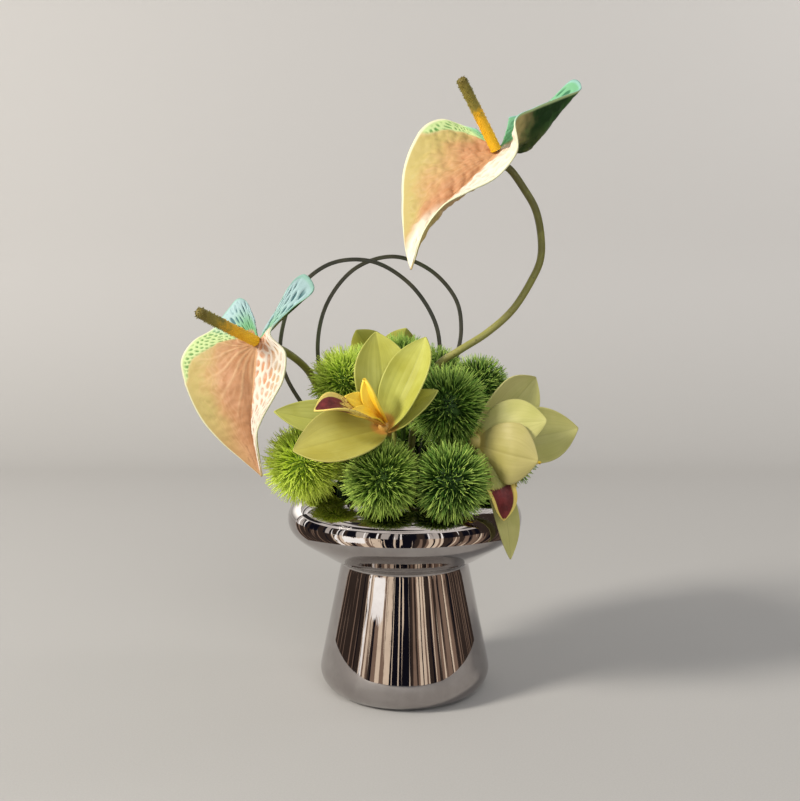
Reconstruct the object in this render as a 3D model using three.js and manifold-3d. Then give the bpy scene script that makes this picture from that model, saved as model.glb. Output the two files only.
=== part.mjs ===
// Ikebana arrangement: two anthuriums, three orchid blooms, two loops of flat grass and a ring of
// needle-leaved green heads, standing in floral foam in a polished pedestal bowl.
// Millimetres, +Z up. The origin is the centre of the bowl's foot, on the surface it stands on.
// +X is to the right and -Y is towards the front.

import * as THREE from 'three';
import { LoftGeometry } from 'three/addons/geometries/LoftGeometry.js';
import { ParametricGeometry } from 'three/addons/geometries/ParametricGeometry.js';
import { mergeVertices } from 'three/addons/utils/BufferGeometryUtils.js';
import Module from 'manifold-3d';

const wasm = await Module();
wasm.setup();
const { Manifold, Mesh } = wasm;

// ---------------------------------------------------------------- driving dimensions

const GAP = 0.3;                 // clearance left between pieces that touch
const SLIVER = 0.05;             // edges shorter than this are closed up after a join or cut
const WELD = 0.001;              // points closer than this are one point
const SEED = 20260;              // seed of every random draw

// Pedestal bowl: a cone foot under a wide flattened bowl, one polished shell.
const FOOT_RADIUS = 64.5;
const FOOT_CORNER = 15.5;        // radius of the round between the base and the cone
const NECK_RADIUS = 48.5;
const NECK_HEIGHT = 95.5;
const BOWL_RADIUS = 88.5;
const BOWL_HEIGHT = 130.5;        // height of the widest ring
const MOUTH_RADIUS = 57;
const RIM_HEIGHT = 151;
const WALL = 2.5;
const NECK_FLARE = [19, 14];     // how the bowl leaves the neck: out, up
const BELLY_ROUND = [13, 13];    // how softly the widest ring turns: below it, above it
const SHOULDER = 17;             // how flat the shell runs into the mouth
const INNER_NECK = 0.3;          // how much higher the neck is inside, as a share of the wall
const CURVE_STEPS = [4, 2];      // divisions of each curve of the outline: outside, inside
const LATHE_SEGMENTS = 28;

// Floral foam: a puck that drops through the mouth and wedges in the funnel of the bowl.
const FOAM_RADIUS = 52;
const FOAM_BOTTOM = 101;
const FOAM_EDGE = 157;
const FOAM_TOP = 165;
const FOAM_BEVEL = 6;
const FOAM_SEGMENTS = 18;
const STEM_DEPTH = 16;           // how far a stem is pushed into the foam

// Green heads: dense balls of soft needles on short stalks.
const CORE_SHARE = 0.62;         // radius of the dense middle, as a share of the head
const NEEDLES_PER_HEAD = 37;
const NEEDLE_RADIUS = 1.15;
const NEEDLE_ROOT = 0.7;         // where a needle starts, as a share of the dense middle's radius
const NEEDLE_SPREAD = 0.06;      // how much longer or shorter than the head's radius a needle may be
const NEEDLE_JITTER = 0.08;      // how far a needle may lean off its even place
const HEAD_STALK_RADIUS = 1.5;
const OUTER_HEAD = 60;           // a head further out than this has its stalk nearer the foam's edge
const STALK_ENTRY = [0.42, 0.5]; // where a stalk enters, as a share of the way out: inner, outer head
const SHORTEST_NEEDLE = 3;       // a needle that would stand out less than this is left off

// Blades: a tepal's half width is full at WIDEST of its length, and falls to both ends.
const PETAL_THICKNESS = 0.9;
const SPATHE_THICKNESS = 1.1;
const LIP_THICKNESS = 1.0;
const COLUMN_THICKNESS = 2;
const LIP_GAP = 0.45;            // clearance round a lip or a column, whose faces bend
const WIDEST = 0.55;
const ROOT_WIDTH = 0.3;          // width at the root, as a share of the full width
const TIP_CURVE = 1.8;           // 1 gives a straight-sided tip, 2 a round one
const SPATHE_GRID = [6, 17];     // faces across and along
const TEPAL_GRID = [4, 5];
const LOBE_GRID = [2, 5];

// Grass: flat blades bent into hoops.
const GRASS_WIDTH = 3.2;
const GRASS_THICKNESS = 1.0;
const GRASS_STEPS = 32;

const ANTHURIUM_STEM_RADIUS = 2.7;
const SPADIX_RADIUS = 3.6;
const SPADIX_RINGS = 18;         // rings of beads along a spadix
const BEAD = 0.35;               // how far a bead stands out
const SPADIX_TAPER = [1.06, 0.1]; // radius at the foot, and how much of it is lost by the end
const DOME = 0.075;              // share of a spadix that its round end takes
const BLUNT = 0.95;              // how far the round end closes: 1 would be a point
const PEDICEL_RADIUS = 1.9;
const HUB_RADIUS = 6;            // the knob that an orchid's tepals grow from

// Facets of each kind of stalk: sides, steps along.
const STEM_FACETS = [7, 20];
const SPADIX_FACETS = [8, SPADIX_RINGS];
const PEDICEL_FACETS = [6, 7];
const HEAD_STALK_FACETS = [5, 1];

// Green heads: [name, centre, radius].
const HEADS = [
  ['green_head_front_left', [-71.5, -48, 177], 29.5],
  ['green_head_front_middle', [-15, -81, 172], 28.5],
  ['green_head_front_right', [30.5, -80, 169.5], 28.5],
  ['green_head_upper_left', [-43, -32, 234], 27],
  ['green_head_upper_right', [30, -50, 217.5], 31],
  ['green_head_top_front', [-2, -28, 244], 25.5],
  ['green_head_top_left', [-30, 8, 236], 26],
  ['green_head_top_right', [23, 8, 236], 25],
  ['green_head_right_shoulder', [54, -8, 229], 25],
  ['green_head_left_rim', [-73, 14, 176], 27],
  ['green_head_right_rim', [76, 10, 176], 27],
  ['green_head_back_left', [-50, 62, 174], 29],
  ['green_head_back_middle', [2, 82, 174], 29],
  ['green_head_back_right', [52, 60, 176], 29],
  ['green_head_back_top', [24, 52, 220], 26],
];

// Anthurium spathe: rows of points from the notch round each lobe to the tip. A lobe row starts at
// the place where the spadix stands; the later rows start on the midrib. Each row is
// [middle of the blade, margin].
const LEFT_SPATHE = {
  centre: [-102.5, -52, 262.5],
  midrib: [[-104, -54, 250.5], [-105, -57, 237], [-105.5, -61, 222], [-105.5, -64, 207], [-103, -68, 192]],
  tip: [-97.5, -72, 172],
  outer: [
    [[-104, -47, 270.5], [-107, -40, 280]],
    [[-108, -42, 277], [-113, -32, 291]],
    [[-113, -42, 277], [-120, -30, 293.5]],
    [[-116.5, -44, 273], [-128, -30, 284.5]],
    [[-121.5, -46, 267], [-138, -30, 272]],
    [[-129, -46, 261], [-152.5, -28, 263.5]],
    [[-132, -48, 254], [-161, -28, 251.5]],
    [[-132, -52, 243.5], [-160.5, -29, 240]],
    [[-130, -57, 230], [-154.5, -34, 224]],
    [[-123.5, -61, 217], [-143.5, -43, 207]],
    [[-116, -65, 202], [-128, -54, 193]],
    [[-107.5, -68, 188], [-113.5, -63, 183]],
  ],
  inner: [
    [[-99.5, -50, 267], [-99.5, -44, 270.5]],
    [[-97.5, -44, 272], [-88, -40, 291]],
    [[-96, -44, 273], [-79.5, -37, 306]],
    [[-95, -45, 273], [-70.5, -36, 310.5]],
    [[-94, -48, 272], [-64.5, -40, 299.5]],
    [[-93.5, -52, 270.5], [-80, -48, 286]],
    [[-96, -58, 266.5], [-92.5, -62, 269.5]],
    [[-90.5, -67, 255], [-80.5, -76, 256.5]],
    [[-91.5, -68, 238.5], [-81.5, -78, 239]],
    [[-95.5, -70, 224], [-88, -78, 226]],
    [[-100.5, -69, 209.5], [-97, -75, 210.5]],
    [[-101, -70, 196.5], [-101, -73, 197]],
  ],
};
const RIGHT_SPATHE = {
  centre: [66, -25, 398],
  midrib: [[55.5, -31, 387], [41.5, -38, 372.5], [27, -46, 358], [16.5, -52, 345], [8.5, -57, 329.5]],
  tip: [4, -60, 312.5],
  outer: [
    [[59, -20, 408], [51.5, -14, 417]],
    [[53, -14, 410.5], [40, -2, 423]],
    [[47.5, -13, 409], [27, 0, 427]],
    [[41.5, -16, 404.5], [14, -3, 421]],
    [[37, -20, 399], [4.5, -7, 405.5]],
    [[31.5, -25, 391.5], [-0.5, -11, 390]],
    [[28.5, -29, 385], [-2, -15, 377.5]],
    [[24.5, -34, 376.5], [-2, -21, 366]],
    [[19, -40, 364.5], [-2, -29, 353.5]],
    [[11.5, -46, 352], [-1, -38, 340.5]],
    [[7, -52, 339.5], [0, -46, 330]],
    [[4.5, -56, 327], [2, -54, 319.5]],
  ],
  inner: [
    [[71.5, -20, 410], [76, -8, 426.5]],
    [[79, -14, 414.5], [100.5, 4, 435]],
    [[93, -12, 419.5], [123.5, 4, 456]],
    [[96.5, -20, 416], [129, -5, 448]],
    [[92, -32, 403], [109, -26, 436]],
    [[81.5, -40, 399.5], [88.5, -48, 423.5]],
    [[74, -46, 398.5], [74, -62, 412.5]],
    [[70, -52, 390.5], [74.5, -68, 391]],
    [[57, -56, 376], [61, -70, 373]],
    [[41, -60, 363.5], [40.5, -71, 362.5]],
    [[26, -62, 352], [25, -70, 354]],
    [[12.5, -62, 334.5], [12, -66, 337]],
  ],
};
const LEFT_SPADIX = [[-103.5, -54, 263.5], [-135.5, -92, 283]];
const RIGHT_SPADIX = [[65, -26.5, 399.5], [38, -45, 444.5]];
const LEFT_STEM = [
  [-101.5, -50.5, 262], [-96, -43, 261], [-85.5, -36, 256], [-72, -20, 243], [-64, -6, 226],
  [-52, 2, 200], [-38, 4, 172], [-30, 4, 146],
];
const RIGHT_STEM = [
  [66.5, -24, 396.5], [71, -19, 391], [77, -17, 386.5], [86, -16, 374.5], [95, -16, 359],
  [99.5, -15, 338.5], [99, -15, 322.5], [92.5, -16, 307.5], [78.5, -18, 286], [60, -20, 269.5],
  [40, -24, 257], [24, -22, 246], [14, -12, 226], [6, -8, 195], [4, -6, 146],
];

// Hoops of grass, behind the upper heads; both ends go down into the foam.
const GRASS_LEFT = [
  [-22, 22, 146], [-44, 18, 170], [-70, 14, 202], [-92, 17, 236.5], [-96.5, 20, 260], [-85, 24, 300],
  [-58, 26, 323], [-25.5, 27, 325], [4, 26, 307.5], [23, 24, 279.5], [27.5, 24, 255], [22, 24, 215],
  [12, 20, 175], [8, 18, 146],
];
const GRASS_RIGHT = [
  [-30, 30, 146], [-48, 34, 190], [-64, 34, 225], [-68.5, 33, 262], [-60.5, 34, 294], [-38.5, 36, 320.5],
  [-9, 36, 329.5], [20, 35, 319], [40.5, 33, 295.5], [44.5, 31, 272], [40, 29, 246], [32, 28, 200],
  [24, 26, 170], [20, 26, 146],
];

// Orchids: each tepal is [spine, width, cup, the way its upper face looks].
const ORCHIDS = {
  orchid_front: {
    centre: [-13.5, -77, 206],
    pedicel: [[-13.5, -77, 206], [-11, -66, 199], [-9, -50, 186], [-7, -34, 166], [-6, -26, 146]],
    tepals: [
      [[[-15, -79, 208], [-15.5, -79, 228], [-16.5, -76, 248], [-20, -70, 270]], 37, 0.3, [0.1, -1, 0.1]],
      [[[-13, -80, 207], [-4, -85, 226], [6, -84, 247], [13.5, -78, 266.5]], 31, 0.45, [-0.5, -0.85, 0.15]],
      [[[-13, -78, 204], [0, -82, 216.5], [21.5, -86, 231.5]], 21, 0.3, [-0.3, -0.8, 0.55]],
      [[[-15.5, -80, 205], [-39.5, -96, 201], [-73, -100, 193]], 36, 0.3, [-0.1, -0.75, 0.65]],
      [[[-15, -75, 206], [-38, -72, 210], [-64, -77, 212], [-87.5, -82, 217]], 26, 0.3, [0.1, -0.85, 0.5]],
    ],
    lip: [
      [[[-15.5, -81, 208], [-33, -99, 217], [-47, -109, 222], [-58, -112, 220]], 21, 0.5, [0.1, -0.45, 0.9]],
      [[[-15.5, -81, 210], [-28, -90, 223], [-39.5, -95, 228]], 12, 0.3, [0.1, -0.9, 0.35]],
      [[[-14.5, -81.5, 209], [-24, -95, 216], [-37, -103, 218]], 11, 0.4, [-0.2, -0.75, 0.65]],
    ],
    column: [[[-13.5, -79.5, 209.5], [-21.5, -91, 224], [-27, -95, 239.5]], 10, 0.7, [-0.4, -0.9, 0]],
  },
  orchid_right: {
    centre: [50, -57, 194],
    pedicel: [[50, -57, 194], [46, -50, 188], [38, -38, 174], [26, -26, 158], [22, -22, 146]],
    tepals: [
      [[[50, -55, 196], [74, -48, 218.5], [93, -40, 238]], 35, 0.3, [0.4, -0.9, 0.1]],
      [[[52, -56, 195], [87.5, -52, 196.5], [122, -48, 202.5]], 40, 0.3, [0.2, -0.9, 0.3]],
      [[[51, -60, 196], [70, -76, 208], [94, -84, 211]], 35, -0.2, [0.1, -0.9, 0.35]],
      [[[51, -61, 192], [68, -84, 189], [87.5, -90, 185]], 42, -0.2, [0.25, -0.95, -0.1]],
      [[[50, -57, 191], [62.5, -61, 165], [70.5, -62, 139.5], [73.5, -62, 112]], 18.5, 0.3, [0.3, -0.95, 0]],
    ],
    lip: [
      [[[52, -61, 190], [60, -72, 172], [66, -78, 158], [67, -76, 142]], 19, 0.4, [0.2, -0.95, 0.2]],
      [[[52.5, -60.5, 189.5], [66, -68, 176], [76, -70, 164]], 12, 0.3, [0.4, -0.85, -0.2]],
      [[[51.5, -61, 188.5], [54, -72, 172], [57, -78, 160]], 10, 0.3, [-0.3, -0.9, 0]],
    ],
    column: [[[52.5, -60, 192.5], [72, -69, 187], [91.5, -76, 181.5]], 9, 0.7, [0.1, -0.3, -0.9]],
  },
  orchid_back: {
    centre: [-16, 62, 236],
    pedicel: [[-16, 62, 236], [-14, 54, 224], [-10, 44, 200], [-6, 36, 170], [-5, 32, 146]],
    tepals: [
      [[[-18, 62, 239], [-28, 57, 256], [-39, 50, 272]], 28, 0.3, [0, 0.9, 0.3]],
      [[[-14, 62, 239], [-5, 58, 255.5], [1.5, 52, 273.5]], 28, 0.3, [0, 0.9, 0.3]],
      [[[-18, 64, 236], [-44, 78, 236], [-70, 80, 228]], 30, 0.3, [0.1, 0.8, 0.6]],
      [[[-14, 64, 236], [8, 84, 242], [30, 92, 236]], 30, 0.3, [-0.1, 0.8, 0.6]],
      [[[-16, 64, 234], [-22, 86, 222], [-28, 98, 200]], 27, 0.3, [0, 0.7, 0.7]],
    ],
    lip: [
      [[[-16.5, 66, 238], [-20, 84, 246], [-24, 98, 242], [-28, 104, 232]], 17, 0.4, [0, 0.5, 0.85]],
      [[[-17, 66, 238.5], [-29, 80, 248], [-34, 90, 250]], 10, 0.3, [0.5, 0.3, 0.8]],
      [[[-16, 66, 238.5], [-10, 82, 248], [-14, 94, 252]], 10, 0.3, [-0.5, 0.3, 0.8]],
    ],
    column: [[[-16, 64.5, 240], [-18, 76, 252], [-20, 84, 263]], 10, 0.7, [0, 1, 0.2]],
  },
};

// ---------------------------------------------------------------- shared helpers

const vec = (p) => new THREE.Vector3(...p);

function randomFrom(seed) {
  let state = seed >>> 0;
  return () => {
    state = (state + 0x6d2b79f5) >>> 0;
    let t = Math.imul(state ^ (state >>> 15), 1 | state);
    t = (t + Math.imul(t ^ (t >>> 7), 61 | t)) ^ t;
    return ((t ^ (t >>> 14)) >>> 0) / 4294967296;
  };
}

// One vertex per position, and no triangle that has collapsed to a line.
function weld(geometry) {
  const bare = new THREE.BufferGeometry();
  bare.setAttribute('position', geometry.attributes.position);
  bare.setIndex(geometry.index);
  const merged = mergeVertices(bare, WELD);
  const kept = [];
  const { array } = merged.index;
  for (let i = 0; i < array.length; i += 3) {
    const [a, b, c] = [array[i], array[i + 1], array[i + 2]];
    if (a !== b && b !== c && c !== a) kept.push(a, b, c);
  }
  merged.setIndex(kept);
  return merged;
}

function solidOf(geometry) {
  const { attributes, index } = weld(geometry);
  return new Manifold(new Mesh({
    numProp: 3,
    vertProperties: attributes.position.array,
    triVerts: new Uint32Array(index.array),
  }));
}

// What stays attached when a cut takes off a loose scrap.
function largestPiece(solid) {
  return solid.decompose().sort((a, b) => b.volume() - a.volume())[0];
}

function geometryOf(solid) {
  const { vertProperties, triVerts } = largestPiece(solid.simplify(SLIVER)).getMesh();
  const geometry = new THREE.BufferGeometry();
  geometry.setAttribute('position', new THREE.BufferAttribute(vertProperties, 3));
  geometry.setIndex(new THREE.BufferAttribute(triVerts, 1));
  return geometry;
}

// A thin sheet becomes a closed blade: both faces keep the sheet's triangles, and a wall closes each
// free edge. grow widens the blade on every side, for the room that its neighbours leave.
function thicken(sheet, thickness, grow = 0) {
  const surface = weld(sheet);
  surface.computeVertexNormals();
  const { position, normal } = surface.attributes;
  const faces = Array.from(surface.index.array);
  const count = position.count;
  const edges = new Set();
  for (let i = 0; i < faces.length; i += 3) {
    for (let k = 0; k < 3; k += 1) edges.add(`${faces[i + k]},${faces[i + (k + 1) % 3]}`);
  }
  const pairs = [...edges].map((key) => key.split(',').map(Number));
  const free = pairs.filter(([a, b]) => !edges.has(`${b},${a}`));
  const outward = new Map();
  for (const [a, b] of free) {
    const [start, end] = [a, b].map((i) => new THREE.Vector3().fromBufferAttribute(position, i));
    const up = new THREE.Vector3().fromBufferAttribute(normal, a);
    const out = end.sub(start).cross(up).normalize();
    for (const i of [a, b]) outward.set(i, (outward.get(i) ?? new THREE.Vector3()).add(out));
  }
  const points = [];
  for (const side of [1, -1]) {
    for (let i = 0; i < count; i += 1) {
      const point = new THREE.Vector3().fromBufferAttribute(position, i);
      const up = new THREE.Vector3().fromBufferAttribute(normal, i);
      point.addScaledVector(up, side * (thickness / 2 + grow));
      if (grow > 0 && outward.has(i)) point.addScaledVector(outward.get(i).clone().normalize(), grow);
      points.push(point.x, point.y, point.z);
    }
  }
  const index = [...faces];
  for (let i = 0; i < faces.length; i += 3) {
    index.push(faces[i] + count, faces[i + 2] + count, faces[i + 1] + count);
  }
  for (const [a, b] of free) index.push(b, a, a + count, b, a + count, b + count);
  const blade = new THREE.BufferGeometry();
  blade.setAttribute('position', new THREE.Float32BufferAttribute(points, 3));
  blade.setIndex(index);
  return solidOf(blade);
}

// A spine run on by grow at both ends, for the room that its neighbours leave.
function lengthened(points, grow) {
  const line = points.map(vec);
  const runOn = (end, next) => end.clone().addScaledVector(end.clone().sub(next).normalize(), grow);
  return [runOn(line[0], line[1]), ...line.slice(1, -1), runOn(line.at(-1), line.at(-2))];
}

// A round stalk along a smooth curve; radiusAt gives its radius at each share of the length.
function stalk(points, radiusAt, [sides, steps], grow = 0) {
  const curve = new THREE.CatmullRomCurve3(lengthened(points, grow), false, 'centripetal');
  const { normals, binormals } = curve.computeFrenetFrames(steps, false);
  const sections = [];
  for (let i = 0; i <= steps; i += 1) {
    const centre = curve.getPointAt(i / steps);
    const ring = [];
    for (let k = 0; k < sides; k += 1) {
      const angle = (2 * Math.PI * k) / sides;
      const radius = radiusAt(i / steps, k) + grow;
      ring.push(centre.clone()
        .addScaledVector(normals[i], radius * Math.cos(angle))
        .addScaledVector(binormals[i], radius * Math.sin(angle)));
    }
    sections.push(ring);
  }
  return solidOf(new LoftGeometry(sections, { capStart: true, capEnd: true }));
}

// ---------------------------------------------------------------- pedestal bowl and foam

// Outline of the shell, from the axis at the base to the mouth, moved in by inset.
function bowlProfile(inset, divisions) {
  const profile = new THREE.Path();
  const cornerX = FOOT_RADIUS - FOOT_CORNER;
  const corner = FOOT_CORNER - inset;
  const lean = Math.atan2(FOOT_RADIUS - NECK_RADIUS, NECK_HEIGHT - FOOT_CORNER);
  const neck = new THREE.Vector2(NECK_RADIUS - inset, NECK_HEIGHT + INNER_NECK * inset);
  const belly = new THREE.Vector2(BOWL_RADIUS - inset, BOWL_HEIGHT);
  const mouth = new THREE.Vector2(MOUTH_RADIUS, RIM_HEIGHT - inset);
  profile.moveTo(0, inset);
  profile.lineTo(cornerX, inset);
  profile.absarc(cornerX, FOOT_CORNER, corner, -Math.PI / 2, lean, false);
  profile.lineTo(neck.x, neck.y);
  const [out, up] = NECK_FLARE;
  const [below, above] = BELLY_ROUND;
  profile.bezierCurveTo(neck.x + out, neck.y + up, belly.x, belly.y - below, belly.x, belly.y);
  profile.bezierCurveTo(belly.x, belly.y + above, mouth.x + SHOULDER, mouth.y, mouth.x, mouth.y);
  return profile.getPoints(divisions);
}

function turned(profile, segments) {
  const points = profile.map((p) => new THREE.Vector2(Math.max(p.x, 0), p.y));
  return solidOf(new THREE.LatheGeometry(points, segments).rotateX(Math.PI / 2));
}

const [outside, inside] = [bowlProfile(0, CURVE_STEPS[0]), bowlProfile(WALL, CURVE_STEPS[1])];
const bowl = turned([...outside, ...inside.reverse()], LATHE_SEGMENTS);

// Outline of the foam above the bowl, from its side to the axis, moved out by grow.
function foamTop(grow) {
  return [
    new THREE.Vector2(FOAM_RADIUS + grow, FOAM_EDGE + grow),
    new THREE.Vector2(FOAM_RADIUS - FOAM_BEVEL, FOAM_EDGE + FOAM_BEVEL + grow),
    new THREE.Vector2(0, FOAM_TOP + grow),
  ];
}

const foamBlock = turned([
  new THREE.Vector2(0, FOAM_BOTTOM),
  new THREE.Vector2(FOAM_RADIUS - FOAM_BEVEL, FOAM_BOTTOM),
  new THREE.Vector2(FOAM_RADIUS, FOAM_BOTTOM + FOAM_BEVEL),
  ...foamTop(0),
], FOAM_SEGMENTS);

// ---------------------------------------------------------------- anthuriums

// Both halves of a spathe as one sheet: across it runs from one margin over the midrib to the other.
function spatheSheet({ centre, midrib, tip, outer, inner }) {
  const lobeRows = outer.length - midrib.length;
  const spine = [...Array(lobeRows).fill(centre), ...midrib, tip];
  const lines = (half) => [0, 1].map((k) => new THREE.CatmullRomCurve3(
    [...half.map((row) => row[k]), tip].map(vec), false, 'catmullrom', 0.5,
  ));
  const middle = new THREE.CatmullRomCurve3(spine.map(vec), false, 'catmullrom', 0.5);
  const [outerLines, innerLines] = [lines(outer), lines(inner)];
  const lobeEnd = (lobeRows - 1) / (spine.length - 1);
  return new ParametricGeometry((u, v, target) => {
    const t = Math.abs(2 * u - 1);
    const [half, edge] = u < 0.5 ? outerLines : innerLines;
    const root = v < lobeEnd ? vec(centre) : middle.getPoint(v);
    const through = half.getPoint(v).multiplyScalar(2)
      .addScaledVector(root, -0.5).addScaledVector(edge.getPoint(v), -0.5);
    target.copy(root).multiplyScalar((1 - t) ** 2)
      .addScaledVector(through, 2 * t * (1 - t)).addScaledVector(edge.getPoint(v), t * t);
  }, ...SPATHE_GRID);
}

// A rod of beads that stand out by turns, with a round end.
function spadix(points, grow = 0) {
  const [foot, lost] = SPADIX_TAPER;
  const radiusAt = (s, k) => {
    const bead = grow > 0 ? BEAD : BEAD * Math.cos(Math.PI * (s * SPADIX_RINGS + k));
    const dome = Math.sqrt(1 - BLUNT * Math.max(0, (s - 1 + DOME) / DOME) ** 2);
    return (SPADIX_RADIUS * (foot - lost * s) + bead) * dome;
  };
  return stalk(points, radiusAt, SPADIX_FACETS, grow);
}

function anthurium(side, spatheNet, spadixLine, stemLine) {
  const stemAt = (grow) => stalk(stemLine, () => ANTHURIUM_STEM_RADIUS, STEM_FACETS, grow);
  const [stem, stemRoom] = [stemAt(0), stemAt(GAP)];
  const spike = spadix(spadixLine);
  const spikeRoom = spadix(spadixLine, GAP);
  const blade = thicken(spatheSheet(spatheNet), SPATHE_THICKNESS);
  return {
    [`anthurium_${side}_spathe`]: largestPiece(blade.subtract(stemRoom).subtract(spikeRoom)),
    [`anthurium_${side}_spadix`]: spike,
    [`anthurium_${side}_stem`]: largestPiece(stem.subtract(spikeRoom)),
    room: [stemRoom, spikeRoom, thicken(spatheSheet(spatheNet), SPATHE_THICKNESS, GAP)],
    stemRoom,
  };
}

// ---------------------------------------------------------------- orchids

// Half width of a tepal at share v of its length, as a share of the full half width.
function tepalOutline(v) {
  if (v < WIDEST) return 1 - (1 - ROOT_WIDTH) * ((WIDEST - v) / WIDEST) ** 2;
  return 1 - ((v - WIDEST) / (1 - WIDEST)) ** TIP_CURVE;
}

// A pointed blade along a spine, cupped across.
function tepal([spine, width, cup, face], thickness, grid, grow = 0) {
  const curve = new THREE.CatmullRomCurve3(spine.map(vec), false, 'centripetal');
  const sheet = new ParametricGeometry((u, v, target) => {
    const tangent = curve.getTangent(v);
    const across = tangent.clone().cross(vec(face)).normalize();
    const up = across.clone().cross(tangent);
    const half = (width / 2) * tepalOutline(v);
    const t = 2 * u - 1;
    target.copy(curve.getPoint(v)).addScaledVector(across, half * t).addScaledVector(up, cup * half * t * t);
  }, ...grid);
  return thicken(sheet, thickness, grow);
}

function orchid({ centre, pedicel, tepals, lip, column }) {
  const tepalAt = (blade, grow) => tepal(blade, PETAL_THICKNESS, TEPAL_GRID, grow);
  const lobeAt = (lobe, grow) => tepal(lobe, LIP_THICKNESS, LOBE_GRID, grow);
  const columnAt = (grow) => tepal(column, COLUMN_THICKNESS, LOBE_GRID, grow);
  const lipRoom = Manifold.union(lip.map((lobe) => lobeAt(lobe, LIP_GAP)));
  const columnRoom = columnAt(LIP_GAP);
  const pedicelAt = (grow) => stalk(pedicel, () => PEDICEL_RADIUS, PEDICEL_FACETS, grow);
  const pedicelRoom = pedicelAt(GAP);
  const hub = solidOf(new THREE.IcosahedronGeometry(HUB_RADIUS, 0).translate(...centre));
  const flower = Manifold.union([...tepals.map((blade) => tepalAt(blade, 0)), hub, pedicelAt(0)]);
  const lipSolid = Manifold.union(lip.map((lobe) => lobeAt(lobe, 0)));
  return {
    petals: largestPiece(flower.subtract(lipRoom).subtract(columnRoom)),
    lip: largestPiece(lipSolid.subtract(columnRoom)),
    column: columnAt(0),
    room: [...tepals.map((blade) => tepalAt(blade, GAP)), lipRoom, columnRoom, pedicelRoom],
    pedicelRoom,
  };
}

// ---------------------------------------------------------------- grass hoops

// A flat blade bent edgeways: its width lies in the plane of the hoop, and its thickness along Y.
function hoop(points, grow = 0) {
  const curve = new THREE.CatmullRomCurve3(lengthened(points, grow), false, 'centripetal');
  const half = GRASS_WIDTH / 2 + grow;
  const thin = GRASS_THICKNESS / 2 + grow;
  const sections = [];
  for (let i = 0; i <= GRASS_STEPS; i += 1) {
    const centre = curve.getPointAt(i / GRASS_STEPS);
    const tangent = curve.getTangentAt(i / GRASS_STEPS);
    const broad = new THREE.Vector3(0, 1, 0).cross(tangent).normalize();
    const flat = tangent.clone().cross(broad).normalize();
    sections.push([[1, 1], [-1, 1], [-1, -1], [1, -1]].map(([a, b]) => centre.clone()
      .addScaledVector(broad, a * half).addScaledVector(flat, b * thin)));
  }
  return solidOf(new LoftGeometry(sections, { capStart: true, capEnd: true }));
}

// ---------------------------------------------------------------- green heads

// Where a head's stalk enters the foam: on the way in from the head to the middle of the foam.
function headStalkLine([x, y, z]) {
  const share = STALK_ENTRY[Math.hypot(x, y) > OUTER_HEAD ? 1 : 0];
  const entry = new THREE.Vector3(x * share, y * share, FOAM_EDGE + GAP);
  const start = new THREE.Vector3(x, y, z);
  const down = entry.clone().sub(start).normalize();
  return [start, entry, entry.clone().addScaledVector(down, STEM_DEPTH)].map((p) => p.toArray());
}

// Points spread evenly over a sphere, each turned a little at random.
function needleDirections(random) {
  const turn = Math.PI * (3 - Math.sqrt(5));
  return Array.from({ length: NEEDLES_PER_HEAD }, (_, i) => {
    const z = 1 - (2 * i + 1) / NEEDLES_PER_HEAD;
    const angle = i * turn;
    const ring = Math.sqrt(1 - z * z);
    const jitter = () => NEEDLE_JITTER * (2 * random() - 1);
    const even = new THREE.Vector3(ring * Math.cos(angle), ring * Math.sin(angle), z);
    return even.add(new THREE.Vector3(jitter(), jitter(), jitter())).normalize();
  });
}

// How far a needle may reach before it meets the plane half way to a neighbouring head.
function reach(direction, centre, radius, neighbours) {
  return neighbours.reduce((limit, [, otherCentre, otherRadius]) => {
    const apart = vec(otherCentre).sub(centre);
    const distance = apart.length();
    const lean = direction.dot(apart) / distance;
    const border = (distance ** 2 + radius ** 2 - otherRadius ** 2) / (2 * distance) - GAP;
    return lean > 0 ? Math.min(limit, border / lean) : limit;
  }, radius);
}

function greenHead([, middle, radius], neighbours, random) {
  const centre = vec(middle);
  const core = radius * CORE_SHARE;
  const parts = [solidOf(new THREE.IcosahedronGeometry(core, 1).translate(...middle))];
  for (const direction of needleDirections(random)) {
    const length = radius * (1 + NEEDLE_SPREAD * (2 * random() - 1));
    const tip = reach(direction, centre, length, neighbours);
    if (tip > core + SHORTEST_NEEDLE) {
      const root = core * NEEDLE_ROOT;
      const needle = new THREE.ConeGeometry(NEEDLE_RADIUS, tip - root, 3, 1);
      const turn = new THREE.Quaternion().setFromUnitVectors(new THREE.Vector3(0, 1, 0), direction);
      needle.applyQuaternion(turn);
      needle.translate(...centre.clone().addScaledVector(direction, (tip + root) / 2).toArray());
      parts.push(solidOf(needle));
    }
  }
  return Manifold.union(parts);
}

// ---------------------------------------------------------------- the arrangement

const solids = { pedestal_bowl: bowl };
const roomTaken = [];
const foamHoles = [];

const anthuriums = {
  left: anthurium('left', LEFT_SPATHE, LEFT_SPADIX, LEFT_STEM),
  right: anthurium('right', RIGHT_SPATHE, RIGHT_SPADIX, RIGHT_STEM),
};
for (const { room, stemRoom, ...pieces } of Object.values(anthuriums)) {
  Object.assign(solids, pieces);
  roomTaken.push(...room);
  foamHoles.push(stemRoom);
}

for (const [name, plan] of Object.entries(ORCHIDS)) {
  const { petals, lip, column, room, pedicelRoom } = orchid(plan);
  Object.assign(solids, { [`${name}_petals`]: petals, [`${name}_lip`]: lip, [`${name}_column`]: column });
  roomTaken.push(...room);
  foamHoles.push(pedicelRoom);
}

for (const [name, line] of [['grass_loop_left', GRASS_LEFT], ['grass_loop_right', GRASS_RIGHT]]) {
  solids[name] = hoop(line);
  roomTaken.push(hoop(line, GAP));
  foamHoles.push(hoop(line, GAP));
}

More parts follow.
